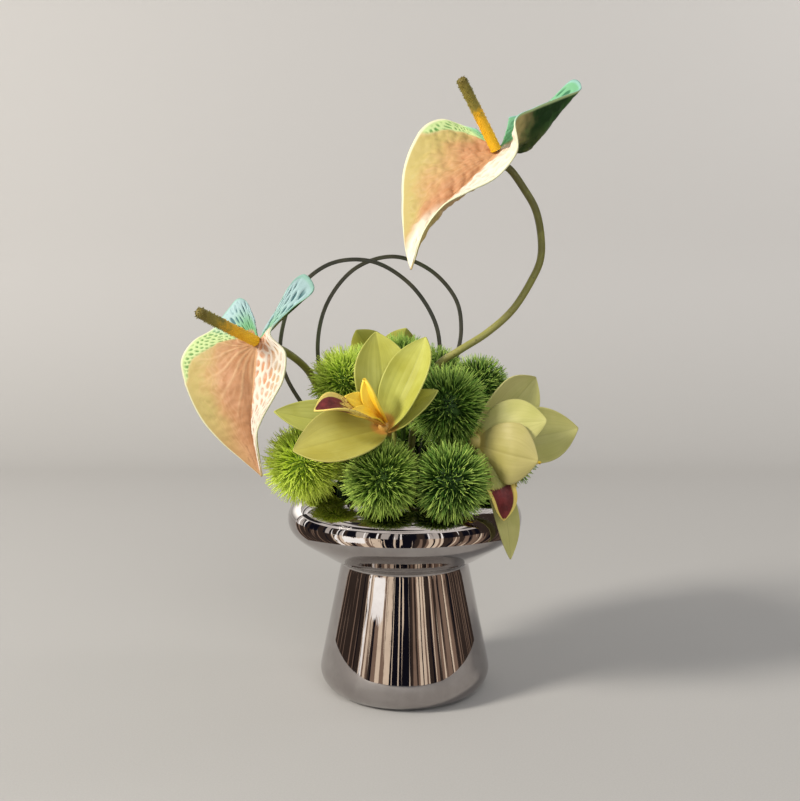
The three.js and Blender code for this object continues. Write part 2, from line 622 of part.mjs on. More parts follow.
// The heads fill what the flowers, stems and hoops leave, and stay clear of the bowl and the foam.
const bowlRoom = turned([
  new THREE.Vector2(0, FOOT_CORNER),
  ...bowlProfile(-GAP, CURVE_STEPS[0]).filter((p) => p.y > FOOT_CORNER),
  new THREE.Vector2(MOUTH_RADIUS - GAP, RIM_HEIGHT + GAP),
  new THREE.Vector2(FOAM_RADIUS + GAP, BOWL_HEIGHT),
  ...foamTop(GAP),
], LATHE_SEGMENTS);
const taken = Manifold.union(roomTaken);
const random = randomFrom(SEED);
function stalkOf([, centre], grow) {
  return stalk(headStalkLine(centre), () => HEAD_STALK_RADIUS, HEAD_STALK_FACETS, grow);
}
for (const head of HEADS) {
  const neighbours = HEADS.filter((other) => other !== head);
  const otherStalks = Manifold.union(neighbours.map((other) => stalkOf(other, GAP)));
  const free = (solid) => solid.subtract(bowlRoom).subtract(taken).subtract(otherStalks);
  const ball = largestPiece(free(greenHead(head, neighbours, random)));
  solids[head[0]] = largestPiece(Manifold.union([ball, stalkOf(head, 0).subtract(taken)]));
  foamHoles.push(stalkOf(head, GAP));
}
solids.floral_foam = largestPiece(foamBlock.subtract(Manifold.union(foamHoles)));

const LOOKS = [
  [/^pedestal_bowl/, 0xb9b7b4, 0.06, 1],
  [/^floral_foam/, 0x3d5230, 0.95, 0],
  [/^green_head/, 0x5d9a1e, 0.7, 0],
  [/_petals$/, 0xb9bb58, 0.6, 0],
  [/_lip$/, 0xd9b93a, 0.55, 0],
  [/_column$/, 0xecc81c, 0.5, 0],
  [/_spathe$/, 0xe6b98a, 0.45, 0],
  [/_spadix$/, 0xc99a10, 0.6, 0],
  [/_stem$/, 0x6b6b30, 0.5, 0],
  [/^grass/, 0x2f3022, 0.5, 0],
];

const arrangement = new THREE.Group();
for (const [name, solid] of Object.entries(solids)) {
  const [, color, roughness, metalness] = LOOKS.find(([pattern]) => pattern.test(name));
  const mesh = new THREE.Mesh(
    geometryOf(solid),
    new THREE.MeshStandardMaterial({ color, roughness, metalness }),
  );
  mesh.name = name;
  arrangement.add(mesh);
}

export default arrangement;
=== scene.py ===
# %% [markdown]
# # An arrangement in a mirror bowl
# Two anthuriums, three orchid blooms, two hoops of flat grass and a ring of green needle heads stand
# in a block of floral foam inside a polished pedestal bowl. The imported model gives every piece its
# place; this script puts a finer piece on every place but the foam's, then paints and lights them all.

# %% Open the frame
import math
import random

import bmesh
import bpy
import numpy as np
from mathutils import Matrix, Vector, noise
from mathutils.bvhtree import BVHTree


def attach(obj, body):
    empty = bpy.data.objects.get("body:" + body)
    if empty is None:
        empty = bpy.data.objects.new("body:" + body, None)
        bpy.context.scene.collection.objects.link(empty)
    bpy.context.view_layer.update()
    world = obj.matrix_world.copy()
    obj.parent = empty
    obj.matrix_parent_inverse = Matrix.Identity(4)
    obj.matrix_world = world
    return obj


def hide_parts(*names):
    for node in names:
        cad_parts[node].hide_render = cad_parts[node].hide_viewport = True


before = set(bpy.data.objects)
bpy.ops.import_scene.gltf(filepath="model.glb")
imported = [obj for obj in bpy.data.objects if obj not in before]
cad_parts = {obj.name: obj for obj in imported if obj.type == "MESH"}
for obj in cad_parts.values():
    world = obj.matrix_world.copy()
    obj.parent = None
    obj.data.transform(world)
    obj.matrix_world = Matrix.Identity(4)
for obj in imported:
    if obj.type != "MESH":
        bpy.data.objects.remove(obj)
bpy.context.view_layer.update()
MM = 0.001
print("nodes in the frame:", len(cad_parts))

# %% [markdown]
# ## Sizes
# Every size is in millimetres, measured from the middle of the bowl's foot: +X goes to the right,
# -Y comes towards the front and +Z goes up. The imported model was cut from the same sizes, so a finer
# piece made from them falls on its solid. Blades and stems could be drawn with many points each, but
# a few are easier to bend, the way a florist bends wire, and a smooth line runs through them.

# %% Sizes of the bowl and the foam
# Corners of the bowl's outline, from the foot up, as radius and height.
FOOT_RADIUS, FOOT_CORNER = 64.5, 15.5
NECK_RADIUS, NECK_HEIGHT = 48.5, 95.5
BOWL_RADIUS, BOWL_HEIGHT = 88.5, 130.5
MOUTH_RADIUS, RIM_HEIGHT = 57, 151
WALL = 2.5
# How far the handles of its curves reach, at the neck, round the belly and on to the mouth.
NECK_ROUND_UP, NECK_ROUND_END, NECK_ROUND_IN = (0, 3.5), (11.5, 7.8), (7.3, 5.1)
UNDER_BULGE, BELLY_BELOW, BELLY_ABOVE, SHOULDER = (15, 10), 13, 13, 17
INNER_NECK = 0.3
FOAM_EDGE = 157
print("bowl:", 2 * BOWL_RADIUS, "mm wide and", RIM_HEIGHT, "mm high")

# %% Sizes of the stems and the blades
STEM_DEPTH = 16
ANTHURIUM_STEM_RADIUS, PEDICEL_RADIUS, HEAD_STALK_RADIUS = 2.7, 1.9, 1.5
SPADIX_RADIUS, SPADIX_FOOT, SPADIX_LOST = 3.6, 1.06, 0.1
HUB_RADIUS = 6
GRASS_WIDTH, GRASS_THICKNESS = 3.2, 1.0
PETAL_THICKNESS, LIP_THICKNESS, COLUMN_THICKNESS, SPATHE_THICKNESS = 0.9, 1.0, 2.0, 1.1
# A stalk enters the foam at this share of its head's distance from the axis.
OUTER_HEAD, ENTRY_INNER, ENTRY_OUTER = 60, 0.42, 0.5
CLEARANCE = 0.3
GOLDEN_ANGLE = math.pi * (3 - math.sqrt(5))

# %% Where the heads stand
# Name, middle and radius of each ball of needles.
HEADS = [
    ["green_head_front_left", [-71.5, -48, 177], 29.5],
    ["green_head_front_middle", [-15, -81, 172], 28.5],
    ["green_head_front_right", [30.5, -80, 169.5], 28.5],
    ["green_head_upper_left", [-43, -32, 234], 27],
    ["green_head_upper_right", [30, -50, 217.5], 31],
    ["green_head_top_front", [-2, -28, 244], 25.5],
    ["green_head_top_left", [-30, 8, 236], 26],
    ["green_head_top_right", [23, 8, 236], 25],
    ["green_head_right_shoulder", [54, -8, 229], 25],
    ["green_head_left_rim", [-73, 14, 176], 27],
    ["green_head_right_rim", [76, 10, 176], 27],
    ["green_head_back_left", [-50, 62, 174], 29],
    ["green_head_back_middle", [2, 82, 174], 29],
    ["green_head_back_right", [52, 60, 176], 29],
    ["green_head_back_top", [24, 52, 220], 26],
]
print("heads:", len(HEADS))

# %% Where the spathes spread
# Rows of the outer and the inner half, from the notch round the lobe to the tip: each row gives the
# middle of the blade and its margin. The first rows start at the centre, the later ones on the midrib.
LEFT_SPATHE = {
    "centre": [-102.5, -52, 262.5],
    "midrib": [[-104, -54, 250.5], [-105, -57, 237], [-105.5, -61, 222], [-105.5, -64, 207],
               [-103, -68, 192]],
    "tip": [-97.5, -72, 172],
    "outer": [
        [[-104, -47, 270.5], [-107, -40, 280]],
        [[-108, -42, 277], [-113, -32, 291]],
        [[-113, -42, 277], [-120, -30, 293.5]],
        [[-116.5, -44, 273], [-128, -30, 284.5]],
        [[-121.5, -46, 267], [-138, -30, 272]],
        [[-129, -46, 261], [-152.5, -28, 263.5]],
        [[-132, -48, 254], [-161, -28, 251.5]],
        [[-132, -52, 243.5], [-160.5, -29, 240]],
        [[-130, -57, 230], [-154.5, -34, 224]],
        [[-123.5, -61, 217], [-143.5, -43, 207]],
        [[-116, -65, 202], [-128, -54, 193]],
        [[-107.5, -68, 188], [-113.5, -63, 183]],
    ],
    "inner": [
        [[-99.5, -50, 267], [-99.5, -44, 270.5]],
        [[-97.5, -44, 272], [-88, -40, 291]],
        [[-96, -44, 273], [-79.5, -37, 306]],
        [[-95, -45, 273], [-70.5, -36, 310.5]],
        [[-94, -48, 272], [-64.5, -40, 299.5]],
        [[-93.5, -52, 270.5], [-80, -48, 286]],
        [[-96, -58, 266.5], [-92.5, -62, 269.5]],
        [[-90.5, -67, 255], [-80.5, -76, 256.5]],
        [[-91.5, -68, 238.5], [-81.5, -78, 239]],
        [[-95.5, -70, 224], [-88, -78, 226]],
        [[-100.5, -69, 209.5], [-97, -75, 210.5]],
        [[-101, -70, 196.5], [-101, -73, 197]],
    ],
}
RIGHT_SPATHE = {
    "centre": [66, -25, 398],
    "midrib": [[55.5, -31, 387], [41.5, -38, 372.5], [27, -46, 358], [16.5, -52, 345], [8.5, -57, 329.5]],
    "tip": [4, -60, 312.5],
    "outer": [
        [[59, -20, 408], [51.5, -14, 417]],
        [[53, -14, 410.5], [40, -2, 423]],
        [[47.5, -13, 409], [27, 0, 427]],
        [[41.5, -16, 404.5], [14, -3, 421]],
        [[37, -20, 399], [4.5, -7, 405.5]],
        [[31.5, -25, 391.5], [-0.5, -11, 390]],
        [[28.5, -29, 385], [-2, -15, 377.5]],
        [[24.5, -34, 376.5], [-2, -21, 366]],
        [[19, -40, 364.5], [-2, -29, 353.5]],
        [[11.5, -46, 352], [-1, -38, 340.5]],
        [[7, -52, 339.5], [0, -46, 330]],
        [[4.5, -56, 327], [2, -54, 319.5]],
    ],
    "inner": [
        [[71.5, -20, 410], [76, -8, 426.5]],
        [[79, -14, 414.5], [100.5, 4, 435]],
        [[93, -12, 419.5], [123.5, 4, 456]],
        [[96.5, -20, 416], [129, -5, 448]],
        [[92, -32, 403], [109, -26, 436]],
        [[81.5, -40, 399.5], [88.5, -48, 423.5]],
        [[74, -46, 398.5], [74, -62, 412.5]],
        [[70, -52, 390.5], [74.5, -68, 391]],
        [[57, -56, 376], [61, -70, 373]],
        [[41, -60, 363.5], [40.5, -71, 362.5]],
        [[26, -62, 352], [25, -70, 354]],
        [[12.5, -62, 334.5], [12, -66, 337]],
    ],
}
print("rows of a spathe:", len(LEFT_SPATHE["outer"]))

# %% How the spadices, the stems and the grass run
LEFT_SPADIX = [[-103.5, -54, 263.5], [-135.5, -92, 283]]
RIGHT_SPADIX = [[65, -26.5, 399.5], [38, -45, 444.5]]
LEFT_STEM = [
    [-101.5, -50.5, 262], [-96, -43, 261], [-85.5, -36, 256], [-72, -20, 243], [-64, -6, 226],
    [-52, 2, 200], [-38, 4, 172], [-30, 4, 146],
]
RIGHT_STEM = [
    [66.5, -24, 396.5], [71, -19, 391], [77, -17, 386.5], [86, -16, 374.5], [95, -16, 359],
    [99.5, -15, 338.5], [99, -15, 322.5], [92.5, -16, 307.5], [78.5, -18, 286], [60, -20, 269.5],
    [40, -24, 257], [24, -22, 246], [14, -12, 226], [6, -8, 195], [4, -6, 146],
]
GRASS_LEFT = [
    [-22, 22, 146], [-44, 18, 170], [-70, 14, 202], [-92, 17, 236.5], [-96.5, 20, 260], [-85, 24, 300],
    [-58, 26, 323], [-25.5, 27, 325], [4, 26, 307.5], [23, 24, 279.5], [27.5, 24, 255], [22, 24, 215],
    [12, 20, 175], [8, 18, 146],
]
GRASS_RIGHT = [
    [-30, 30, 146], [-48, 34, 190], [-64, 34, 225], [-68.5, 33, 262], [-60.5, 34, 294], [-38.5, 36, 320.5],
    [-9, 36, 329.5], [20, 35, 319], [40.5, 33, 295.5], [44.5, 31, 272], [40, 29, 246], [32, 28, 200],
    [24, 26, 170], [20, 26, 146],
]
print("points of a hoop:", len(GRASS_LEFT))

# %% Where the orchids open
# Each blade is its line, its width, how far it is cupped, and the way that its face looks.
ORCHIDS = {
    "orchid_front": {
        "centre": [-13.5, -77, 206],
        "pedicel": [[-13.5, -77, 206], [-11, -66, 199], [-9, -50, 186], [-7, -34, 166], [-6, -26, 146]],
        "tepals": [
            [[[-15, -79, 208], [-15.5, -79, 228], [-16.5, -76, 248], [-20, -70, 270]],
             37, 0.3, [0.1, -1, 0.1]],
            [[[-13, -80, 207], [-4, -85, 226], [6, -84, 247], [13.5, -78, 266.5]],
             31, 0.45, [-0.5, -0.85, 0.15]],
            [[[-13, -78, 204], [0, -82, 216.5], [21.5, -86, 231.5]],
             21, 0.3, [-0.3, -0.8, 0.55]],
            [[[-15.5, -80, 205], [-39.5, -96, 201], [-73, -100, 193]],
             42, 0.3, [-0.1, -0.75, 0.65]],
            [[[-15, -75, 206], [-38, -72, 210], [-64, -77, 212], [-87.5, -82, 217]],
             26, 0.3, [0.1, -0.85, 0.5]],
        ],
        "lip": [
            [[[-15.5, -81, 208], [-33, -99, 217], [-47, -109, 222], [-58, -112, 220]],
             21, 0.5, [0.1, -0.45, 0.9]],
            [[[-15.5, -81, 210], [-28, -90, 223], [-39.5, -95, 228]],
             12, 0.3, [0.1, -0.9, 0.35]],
            [[[-14.5, -81.5, 209], [-24, -95, 216], [-37, -103, 218]],
             11, 0.4, [-0.2, -0.75, 0.65]],
        ],
        "column": [[[-13.5, -79.5, 209.5], [-21.5, -91, 224], [-27, -95, 239.5]], 10, 0.7, [-0.4, -0.9, 0]],
    },
    "orchid_right": {
        "centre": [50, -57, 194],
        "pedicel": [[50, -57, 194], [46, -50, 188], [38, -38, 174], [26, -26, 158], [22, -22, 146]],
        "tepals": [
            [[[50, -55, 196], [74, -48, 218.5], [93, -40, 238]],
             35, 0.3, [0.4, -0.9, 0.1]],
            [[[52, -56, 195], [87.5, -52, 196.5], [122, -48, 202.5]],
             40, 0.3, [0.2, -0.9, 0.3]],
            [[[51, -60, 196], [70, -76, 208], [94, -84, 211]],
             35, -0.2, [0.1, -0.9, 0.35]],
            [[[51, -61, 192], [68, -84, 189], [87.5, -90, 185]],
             42, -0.2, [0.25, -0.95, -0.1]],
            [[[50, -57, 191], [62.5, -61, 165], [70.5, -62, 139.5], [73.5, -62, 112]],
             18.5, 0.3, [0.3, -0.95, 0]],
        ],
        "lip": [
            [[[52, -61, 190], [60, -72, 172], [66, -78, 158], [67, -76, 142]],
             19, 0.4, [0.2, -0.95, 0.2]],
            [[[52.5, -60.5, 189.5], [66, -68, 176], [76, -70, 164]],
             12, 0.3, [0.4, -0.85, -0.2]],
            [[[51.5, -61, 188.5], [54, -72, 172], [57, -78, 160]],
             10, 0.3, [-0.3, -0.9, 0]],
        ],
        "column": [[[52.5, -60, 192.5], [72, -69, 187], [91.5, -76, 181.5]], 9, 0.7, [0.1, -0.3, -0.9]],
    },
    "orchid_back": {
        "centre": [-16, 62, 236],
        "pedicel": [[-16, 62, 236], [-14, 54, 224], [-10, 44, 200], [-6, 36, 170], [-5, 32, 146]],
        "tepals": [
            [[[-18, 62, 239], [-28, 57, 256], [-39, 50, 272]],
             28, 0.3, [0, 0.9, 0.3]],
            [[[-14, 62, 239], [-5, 58, 255.5], [1.5, 52, 273.5]],
             28, 0.3, [0, 0.9, 0.3]],
            [[[-18, 64, 236], [-44, 78, 236], [-70, 80, 228]],
             30, 0.3, [0.1, 0.8, 0.6]],
            [[[-14, 64, 236], [8, 84, 242], [30, 92, 236]],
             30, 0.3, [-0.1, 0.8, 0.6]],
            [[[-16, 64, 234], [-22, 86, 222], [-28, 98, 200]],
             27, 0.3, [0, 0.7, 0.7]],
        ],
        "lip": [
            [[[-16.5, 66, 238], [-20, 84, 246], [-24, 98, 242], [-28, 104, 232]],
             17, 0.4, [0, 0.5, 0.85]],
            [[[-17, 66, 238.5], [-29, 80, 248], [-34, 90, 250]],
             10, 0.3, [0.5, 0.3, 0.8]],
            [[[-16, 66, 238.5], [-10, 82, 248], [-14, 94, 252]],
             10, 0.3, [-0.5, 0.3, 0.8]],
        ],
        "column": [[[-16, 64.5, 240], [-18, 76, 252], [-20, 84, 263]], 10, 0.7, [0, 1, 0.2]],
    },
}
print("tepals of a bloom:", len(ORCHIDS["orchid_front"]["tepals"]))

# %% [markdown]
# ## Helpers for lines and meshes
# A smooth line runs through its points without a corner. Blender's own curves could draw it, but
# blades need its place and direction at any share of its length, so it is worked out here once, for
# stems, blades and spathes alike.

# %% A smooth line through points
LINE_STEPS = 600


def smooth_line(points, shares, spacing=0.5):
    """Places along the line through the points, at shares of it from 0 to 1. A spacing of 0.5 keeps
    it from looping where points lie close together, and 0 gives every stretch the same pull."""
    points = np.asarray(points, float)
    path = np.vstack([2 * points[0] - points[1], points, 2 * points[-1] - points[-2]])
    place = np.clip(np.asarray(shares, float), 0, 1) * (len(points) - 1)
    first = np.minimum(place.astype(int), len(points) - 2)
    w = (place - first)[:, None]
    p0, p1, p2, p3 = (path[first + k] for k in range(4))

    def gap(a, b):
        return np.linalg.norm(b - a, axis=1)[:, None] ** spacing

    d0, d1, d2 = gap(p0, p1), gap(p1, p2), gap(p2, p3)
    start = ((p1 - p0) / d0 - (p2 - p0) / (d0 + d1) + (p2 - p1) / d1) * d1
    end = ((p2 - p1) / d1 - (p3 - p1) / (d1 + d2) + (p3 - p2) / d2) * d1
    return p1 + start * w + (3 * (p2 - p1) - 2 * start - end) * w**2 + (2 * (p1 - p2) + start + end) * w**3


def even_line(points, shares, spacing=0.5):
    """The same line with the shares measured as true length."""
    fine = smooth_line(points, np.linspace(0, 1, LINE_STEPS), spacing)
    run = np.concatenate([[0], np.cumsum(np.linalg.norm(np.diff(fine, axis=0), axis=1))])
    run /= run[-1]
    return np.stack([np.interp(shares, run, fine[:, k]) for k in range(3)], axis=1)


def unit(v):
    return v / np.maximum(np.linalg.norm(v, axis=-1, keepdims=True), 1e-9)


def soft_step(value, start, end):
    """Climbs smoothly from 0 to 1 while value goes from start to end."""
    share = np.clip((value - start) / (end - start), 0, 1)
    return share * share * (3 - 2 * share)


middle = even_line(LEFT_STEM, [0.5])[0]
print("middle of the left stem:", middle.round(1))

# %% Meshes and their points
BALL_DETAIL = 4


def mesh_points(mesh):
    """Where the points of a mesh are, in metres."""
    co = np.zeros(len(mesh.vertices) * 3, np.float32)
    mesh.vertices.foreach_get("co", co)
    return co.reshape(-1, 3).astype(float)


def move_points(mesh, points):
    """Puts the points of a mesh where they are asked for, in millimetres."""
    mesh.vertices.foreach_set("co", (np.asarray(points) * MM).astype(np.float32).ravel())
    mesh.update()


def mark(mesh, name, values):
    """A named number on every point, which a material can read."""
    mesh.attributes.new(name, "FLOAT", "POINT").data.foreach_set("value", np.asarray(values, np.float32))


def mesh_from(bm, name):
    mesh = bpy.data.meshes.new(name)
    bm.to_mesh(mesh)
    bm.free()
    return mesh


def grid_mesh(name, columns, rows, size=1):
    """A flat grid in x and y that reaches size to all four sides, with its own UV map."""
    bm = bmesh.new()
    bm.loops.layers.uv.new("UVMap")
    bmesh.ops.create_grid(bm, x_segments=columns, y_segments=rows, size=size, calc_uvs=True)
    return mesh_from(bm, name)


def cut_cone(sides, foot, top, cuts, closed):
    """A cone from height 0 to 1, cut across to make rings of points that can be moved."""
    bm = bmesh.new()
    bmesh.ops.create_cone(bm, cap_ends=closed, segments=sides, radius1=foot, radius2=top, depth=1)
    bmesh.ops.translate(bm, verts=bm.verts, vec=(0, 0, 0.5))
    long_edges = [e for e in bm.edges if abs(e.verts[0].co.z - e.verts[1].co.z) > 0.5]
    bmesh.ops.subdivide_edges(bm, edges=long_edges, cuts=cuts)
    return bm


def joined(name, meshes, **marks):
    """Several meshes as one, with a list of numbers for each mesh under each name."""
    bm = bmesh.new()
    for mesh in meshes:
        bm.from_mesh(mesh)
    whole = mesh_from(bm, name)
    for key, values in marks.items():
        if key in whole.attributes:
            whole.attributes.remove(whole.attributes[key])
        mark(whole, key, np.concatenate(values))
    return whole


def stand(mesh, node, slot, *materials):
    """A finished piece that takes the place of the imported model's node."""
    piece = bpy.data.objects.new(mesh.name, mesh)
    bpy.context.scene.collection.objects.link(piece)
    for material in materials:
        mesh.materials.append(material)
    mesh.shade_smooth()
    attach(piece, "root")
    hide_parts(node)
    return piece


# %% [markdown]
# ## Helpers for materials
# Each material is a small tree of nodes. It could be wired by hand in the Shader editor, but `node`
# adds one and joins its inputs in a single line, so that a material reads from top to bottom like a
# painter's recipe: a first colour, then further ones, each laid over it through a mask. What several
# materials need is a node group: a cloudy grain, and fine veins that run along a blade.

# %% A node with its inputs
def join_input(tree, socket, value):
    if isinstance(value, bpy.types.NodeSocket):
        tree.links.new(value, socket)
    elif value is not None:
        socket.default_value = value


def node(tree, kind, *inputs, named=None, **settings):
    """A new shader node. An input is a number, a colour or what comes out of another node."""
    made = tree.nodes.new("ShaderNode" + kind)
    for key, value in settings.items():
        setattr(made, key, value)
    for key, value in [*enumerate(inputs), *(named or {}).items()]:
        join_input(tree, made.inputs[key], value)
    return made


def calc(tree, operation, a, b=None, c=None):
    return node(tree, "Math", a, b, c, operation=operation).outputs[0]


def times(tree, *values):
    """The product of several numbers."""
    product = values[0]
    for value in values[1:]:
        product = calc(tree, "MULTIPLY", product, value)
    return product


def blend(tree, share, a, b):
    """Colour a turning into colour b by share."""
    made = node(tree, "Mix", data_type="RGBA")
    for key, value in ((0, share), (6, a), (7, b)):
        join_input(tree, made.inputs[key], value)
    return made.outputs[2]


def layered(tree, skin, *layers):
    """Colours laid over skin one after another, each given as its mask and its colour."""
    for share, tint in layers:
        skin = blend(tree, share, skin, tint)
    return skin


def ramp(tree, value, start, end, low=0.0, high=1.0):
    """A number that climbs smoothly from low to high while value goes from start to end."""
    return node(tree, "MapRange", value, start, end, low, high, interpolation_type="SMOOTHSTEP").outputs[0]


def colour(red, green, blue):
    """A colour as it looks on a screen, 0 to 255, turned into light."""
    def light(c):
        c /= 255
        return c / 12.92 if c <= 0.04045 else ((c + 0.055) / 1.055) ** 2.4
    return (light(red), light(green), light(blue), 1.0)


def attribute(tree, name):
    """A number that was marked on the points of the mesh."""
    return node(tree, "Attribute", attribute_name=name).outputs["Fac"]


def uv_of(tree):
    """Across and along a blade, 0 to 1."""
    across, along, _ = node(tree, "SeparateXYZ", node(tree, "TexCoord").outputs["UV"]).outputs
    return across, along


def from_middle(tree, across):
    """0 on the midrib of a blade, 0.5 at its margins."""
    return calc(tree, "ABSOLUTE", calc(tree, "SUBTRACT", across, 0.5))


# %% Effects that several materials share
def effect(name, sizes, recipe):
    """A node group with numbers going in and one number coming out."""
    group = bpy.data.node_groups.new(name, "ShaderNodeTree")
    for key, size in sizes.items():
        group.interface.new_socket(key, in_out="INPUT", socket_type="NodeSocketFloat").default_value = size
    group.interface.new_socket("Value", in_out="OUTPUT", socket_type="NodeSocketFloat")
    given = group.nodes.new("NodeGroupInput").outputs
    result = group.nodes.new("NodeGroupOutput").inputs[0]
    group.links.new(recipe(group, given), result)
    return group


CLOUD_ROUGHNESS = 0.6
VEIN_CHANGE, NEXT_BLADE = 1.4, 7.0


def grain_recipe(tree, given):
    place = node(tree, "TexCoord").outputs["Object"]
    cloud = {"Vector": place, "Scale": given["Scale"], "Detail": given["Detail"],
             "Roughness": CLOUD_ROUGHNESS}
    return ramp(tree, node(tree, "TexNoise", named=cloud).outputs[0], given["Start"], given["End"],
                0.0, given["Amount"])


def stretched(tree, across, along, detail, other=None):
    """A cloud that is drawn out over two numbers, so that it makes veins, strips or streaks."""
    place = node(tree, "CombineXYZ", across, along, other).outputs[0]
    cloud = {"Vector": place, "Scale": 1.0, "Detail": detail, "Roughness": CLOUD_ROUGHNESS}
    return node(tree, "TexNoise", named=cloud).outputs[0]


def vein_recipe(tree, given):
    across, along = uv_of(tree)
    other = times(tree, attribute(tree, "blade"), NEXT_BLADE)
    return stretched(tree, times(tree, across, given["Count"]), times(tree, along, VEIN_CHANGE), 2.5, other)


GRAIN = effect("grain", {"Scale": 100, "Detail": 3, "Start": 0.3, "End": 0.7, "Amount": 1}, grain_recipe)
FINE_VEINS = effect("fine veins", {"Count": 24}, vein_recipe)
print("shared effects:", GRAIN.name, "and", FINE_VEINS.name)


def grain(tree, scale, start=0.35, end=0.65, amount=1.0, detail=3.0):
    """A cloudy number from 0 to amount; scale is in clouds per metre."""
    sizes = {"Scale": scale, "Detail": detail, "Start": start, "End": end, "Amount": amount}
    return node(tree, "Group", node_tree=GRAIN, named=sizes).outputs[0]


def fine_veins(tree, count):
    """A cloud drawn out along the blade, about 0.5 on average; count is in veins across it."""
    return node(tree, "Group", node_tree=FINE_VEINS, named={"Count": count}).outputs[0]


# %% A new material
def new_material(name, roughness, **settings):
    """A material with its Principled shader; the shader's other sockets are set by name."""
    material = bpy.data.materials.new(name)
    material.use_nodes = True
    shader = material.node_tree.nodes["Principled BSDF"]
    shader.inputs["Roughness"].default_value = roughness
    for key, value in settings.items():
        shader.inputs[key.replace("_", " ")].default_value = value
    return material, material.node_tree, shader


def paint(tree, shader, skin):
    """Skin as the colour of the material."""
    tree.links.new(skin, shader.inputs["Base Color"])


def bump(tree, shader, height, strength, distance_mm):
    """Relief too fine for the mesh, such as the pores of a petal."""
    made = node(tree, "Bump", named={"Strength": strength, "Distance": distance_mm * MM, "Height": height})
    tree.links.new(made.outputs[0], shader.inputs["Normal"])


# %% [markdown]
# ## The bowl
# The real bowl is a thin polished shell, pressed or spun in one piece: a cone foot under a wide
# flattened bowl that folds in to a mouth. It could be pulled out of a cylinder with bevels, but a
# mirror shows every uneven ring, so its outline is spun once round the axis, as on a lathe. The cone
# ends in a crisp line at the neck, where a small hollow leads out to the belly.

# %% Spin the bowl
OUTSIDE_STEPS, INSIDE_STEPS, ROUND_STEPS = 16, 12, 160
CREASE_ANGLE = math.radians(28)


def bezier(a, b, c, d, steps):
    """Points on the curve from a to d that b and c pull at, without the first."""
    t = np.linspace(0, 1, steps + 1)[1:, None]
    return (1 - t) ** 3 * a + 3 * (1 - t) ** 2 * t * b + 3 * (1 - t) * t**2 * c + t**3 * d


def bowl_outline(inset, steps):
    """The outline from the axis at the base up to the mouth, moved in by inset."""
    lean = math.atan2(FOOT_RADIUS - NECK_RADIUS, NECK_HEIGHT - FOOT_CORNER)
    corner_x = FOOT_RADIUS - FOOT_CORNER
    turn = np.linspace(-math.pi / 2, lean, steps)
    round_edge = np.stack([corner_x + (FOOT_CORNER - inset) * np.cos(turn),
                           FOOT_CORNER + (FOOT_CORNER - inset) * np.sin(turn)], axis=1)
    neck = np.array([NECK_RADIUS - inset, NECK_HEIGHT + INNER_NECK * inset])
    belly = np.array([BOWL_RADIUS - inset, BOWL_HEIGHT])
    mouth = np.array([MOUTH_RADIUS, RIM_HEIGHT - inset])
    cone = round_edge[-1] + (neck - round_edge[-1]) * np.linspace(0, 1, steps)[1:, None]
    hollow_end = neck + NECK_ROUND_END
    hollow = bezier(neck, neck + NECK_ROUND_UP, neck + NECK_ROUND_IN, hollow_end, steps)
    lower = bezier(hollow_end, hollow_end + UNDER_BULGE, belly - (0, BELLY_BELOW), belly, 2 * steps)
    upper = bezier(belly, belly + (0, BELLY_ABOVE), mouth + (SHOULDER, 0), mouth, 2 * steps)
    return np.vstack([[0, inset], round_edge, cone, hollow, lower, upper])


def spun(name, outline, steps):
    """The outline turned once round the upright axis."""
    bm = bmesh.new()
    line = [bm.verts.new((x * MM, 0, z * MM)) for x, z in outline]
    edges = [bm.edges.new(pair) for pair in zip(line, line[1:])]
    bmesh.ops.spin(bm, geom=line + edges, axis=(0, 0, 1), cent=(0, 0, 0), angle=2 * math.pi,
                   steps=steps, use_merge=True)
    bmesh.ops.remove_doubles(bm, verts=bm.verts, dist=1e-6)
    bmesh.ops.recalc_face_normals(bm, faces=bm.faces)
    return mesh_from(bm, name)


bowl_sides = [bowl_outline(0, OUTSIDE_STEPS), bowl_outline(WALL, INSIDE_STEPS)[::-1]]
bowl_mesh = spun("bowl", np.vstack(bowl_sides), ROUND_STEPS)
print("bowl faces:", len(bowl_mesh.polygons))

# %% [markdown]
# ## Mirror finish
# The real shell is plated, or glazed with metal. Metallic at 1 and a low roughness make a mirror, but
# an even one looks computed. So clouds change its tint and its polish a little, and long low waves
# with faint short ones bend what it reflects, as on pressed ware.

# %% Mirror glaze
mirror, tree, shader = new_material("mirror_glaze", 0.04, Metallic=1.0)
paint(tree, shader, blend(tree, grain(tree, 35, detail=4.0), colour(180, 175, 173), colour(166, 160, 158)))
tree.links.new(calc(tree, "MULTIPLY_ADD", grain(tree, 60), 0.03, 0.02), shader.inputs["Roughness"])
wavy = calc(tree, "ADD", grain(tree, 16, 0.2, 0.8, detail=1.0), grain(tree, 150, 0.2, 0.8, 0.03, detail=1.0))
bump(tree, shader, wavy, 0.3, 0.5)
stand(bowl_mesh, "pedestal_bowl", "mirror_glaze", mirror)
bowl_mesh.set_sharp_from_angle(angle=CREASE_ANGLE)
print("mirror nodes:", len(tree.nodes))

# %% [markdown]
# ## Rods on a line
# Stems, hoops and spadices are all long and thin. A curve with a bevel could make them, but a closed
# rod of known rings can also change its section along the way, be round or flat, and carry a number
# that says how far along each point lies. So a cone is cut into rings, and each ring is moved to its
# place on the line.

# %% A rod on a line
END_OPENING = 0.02


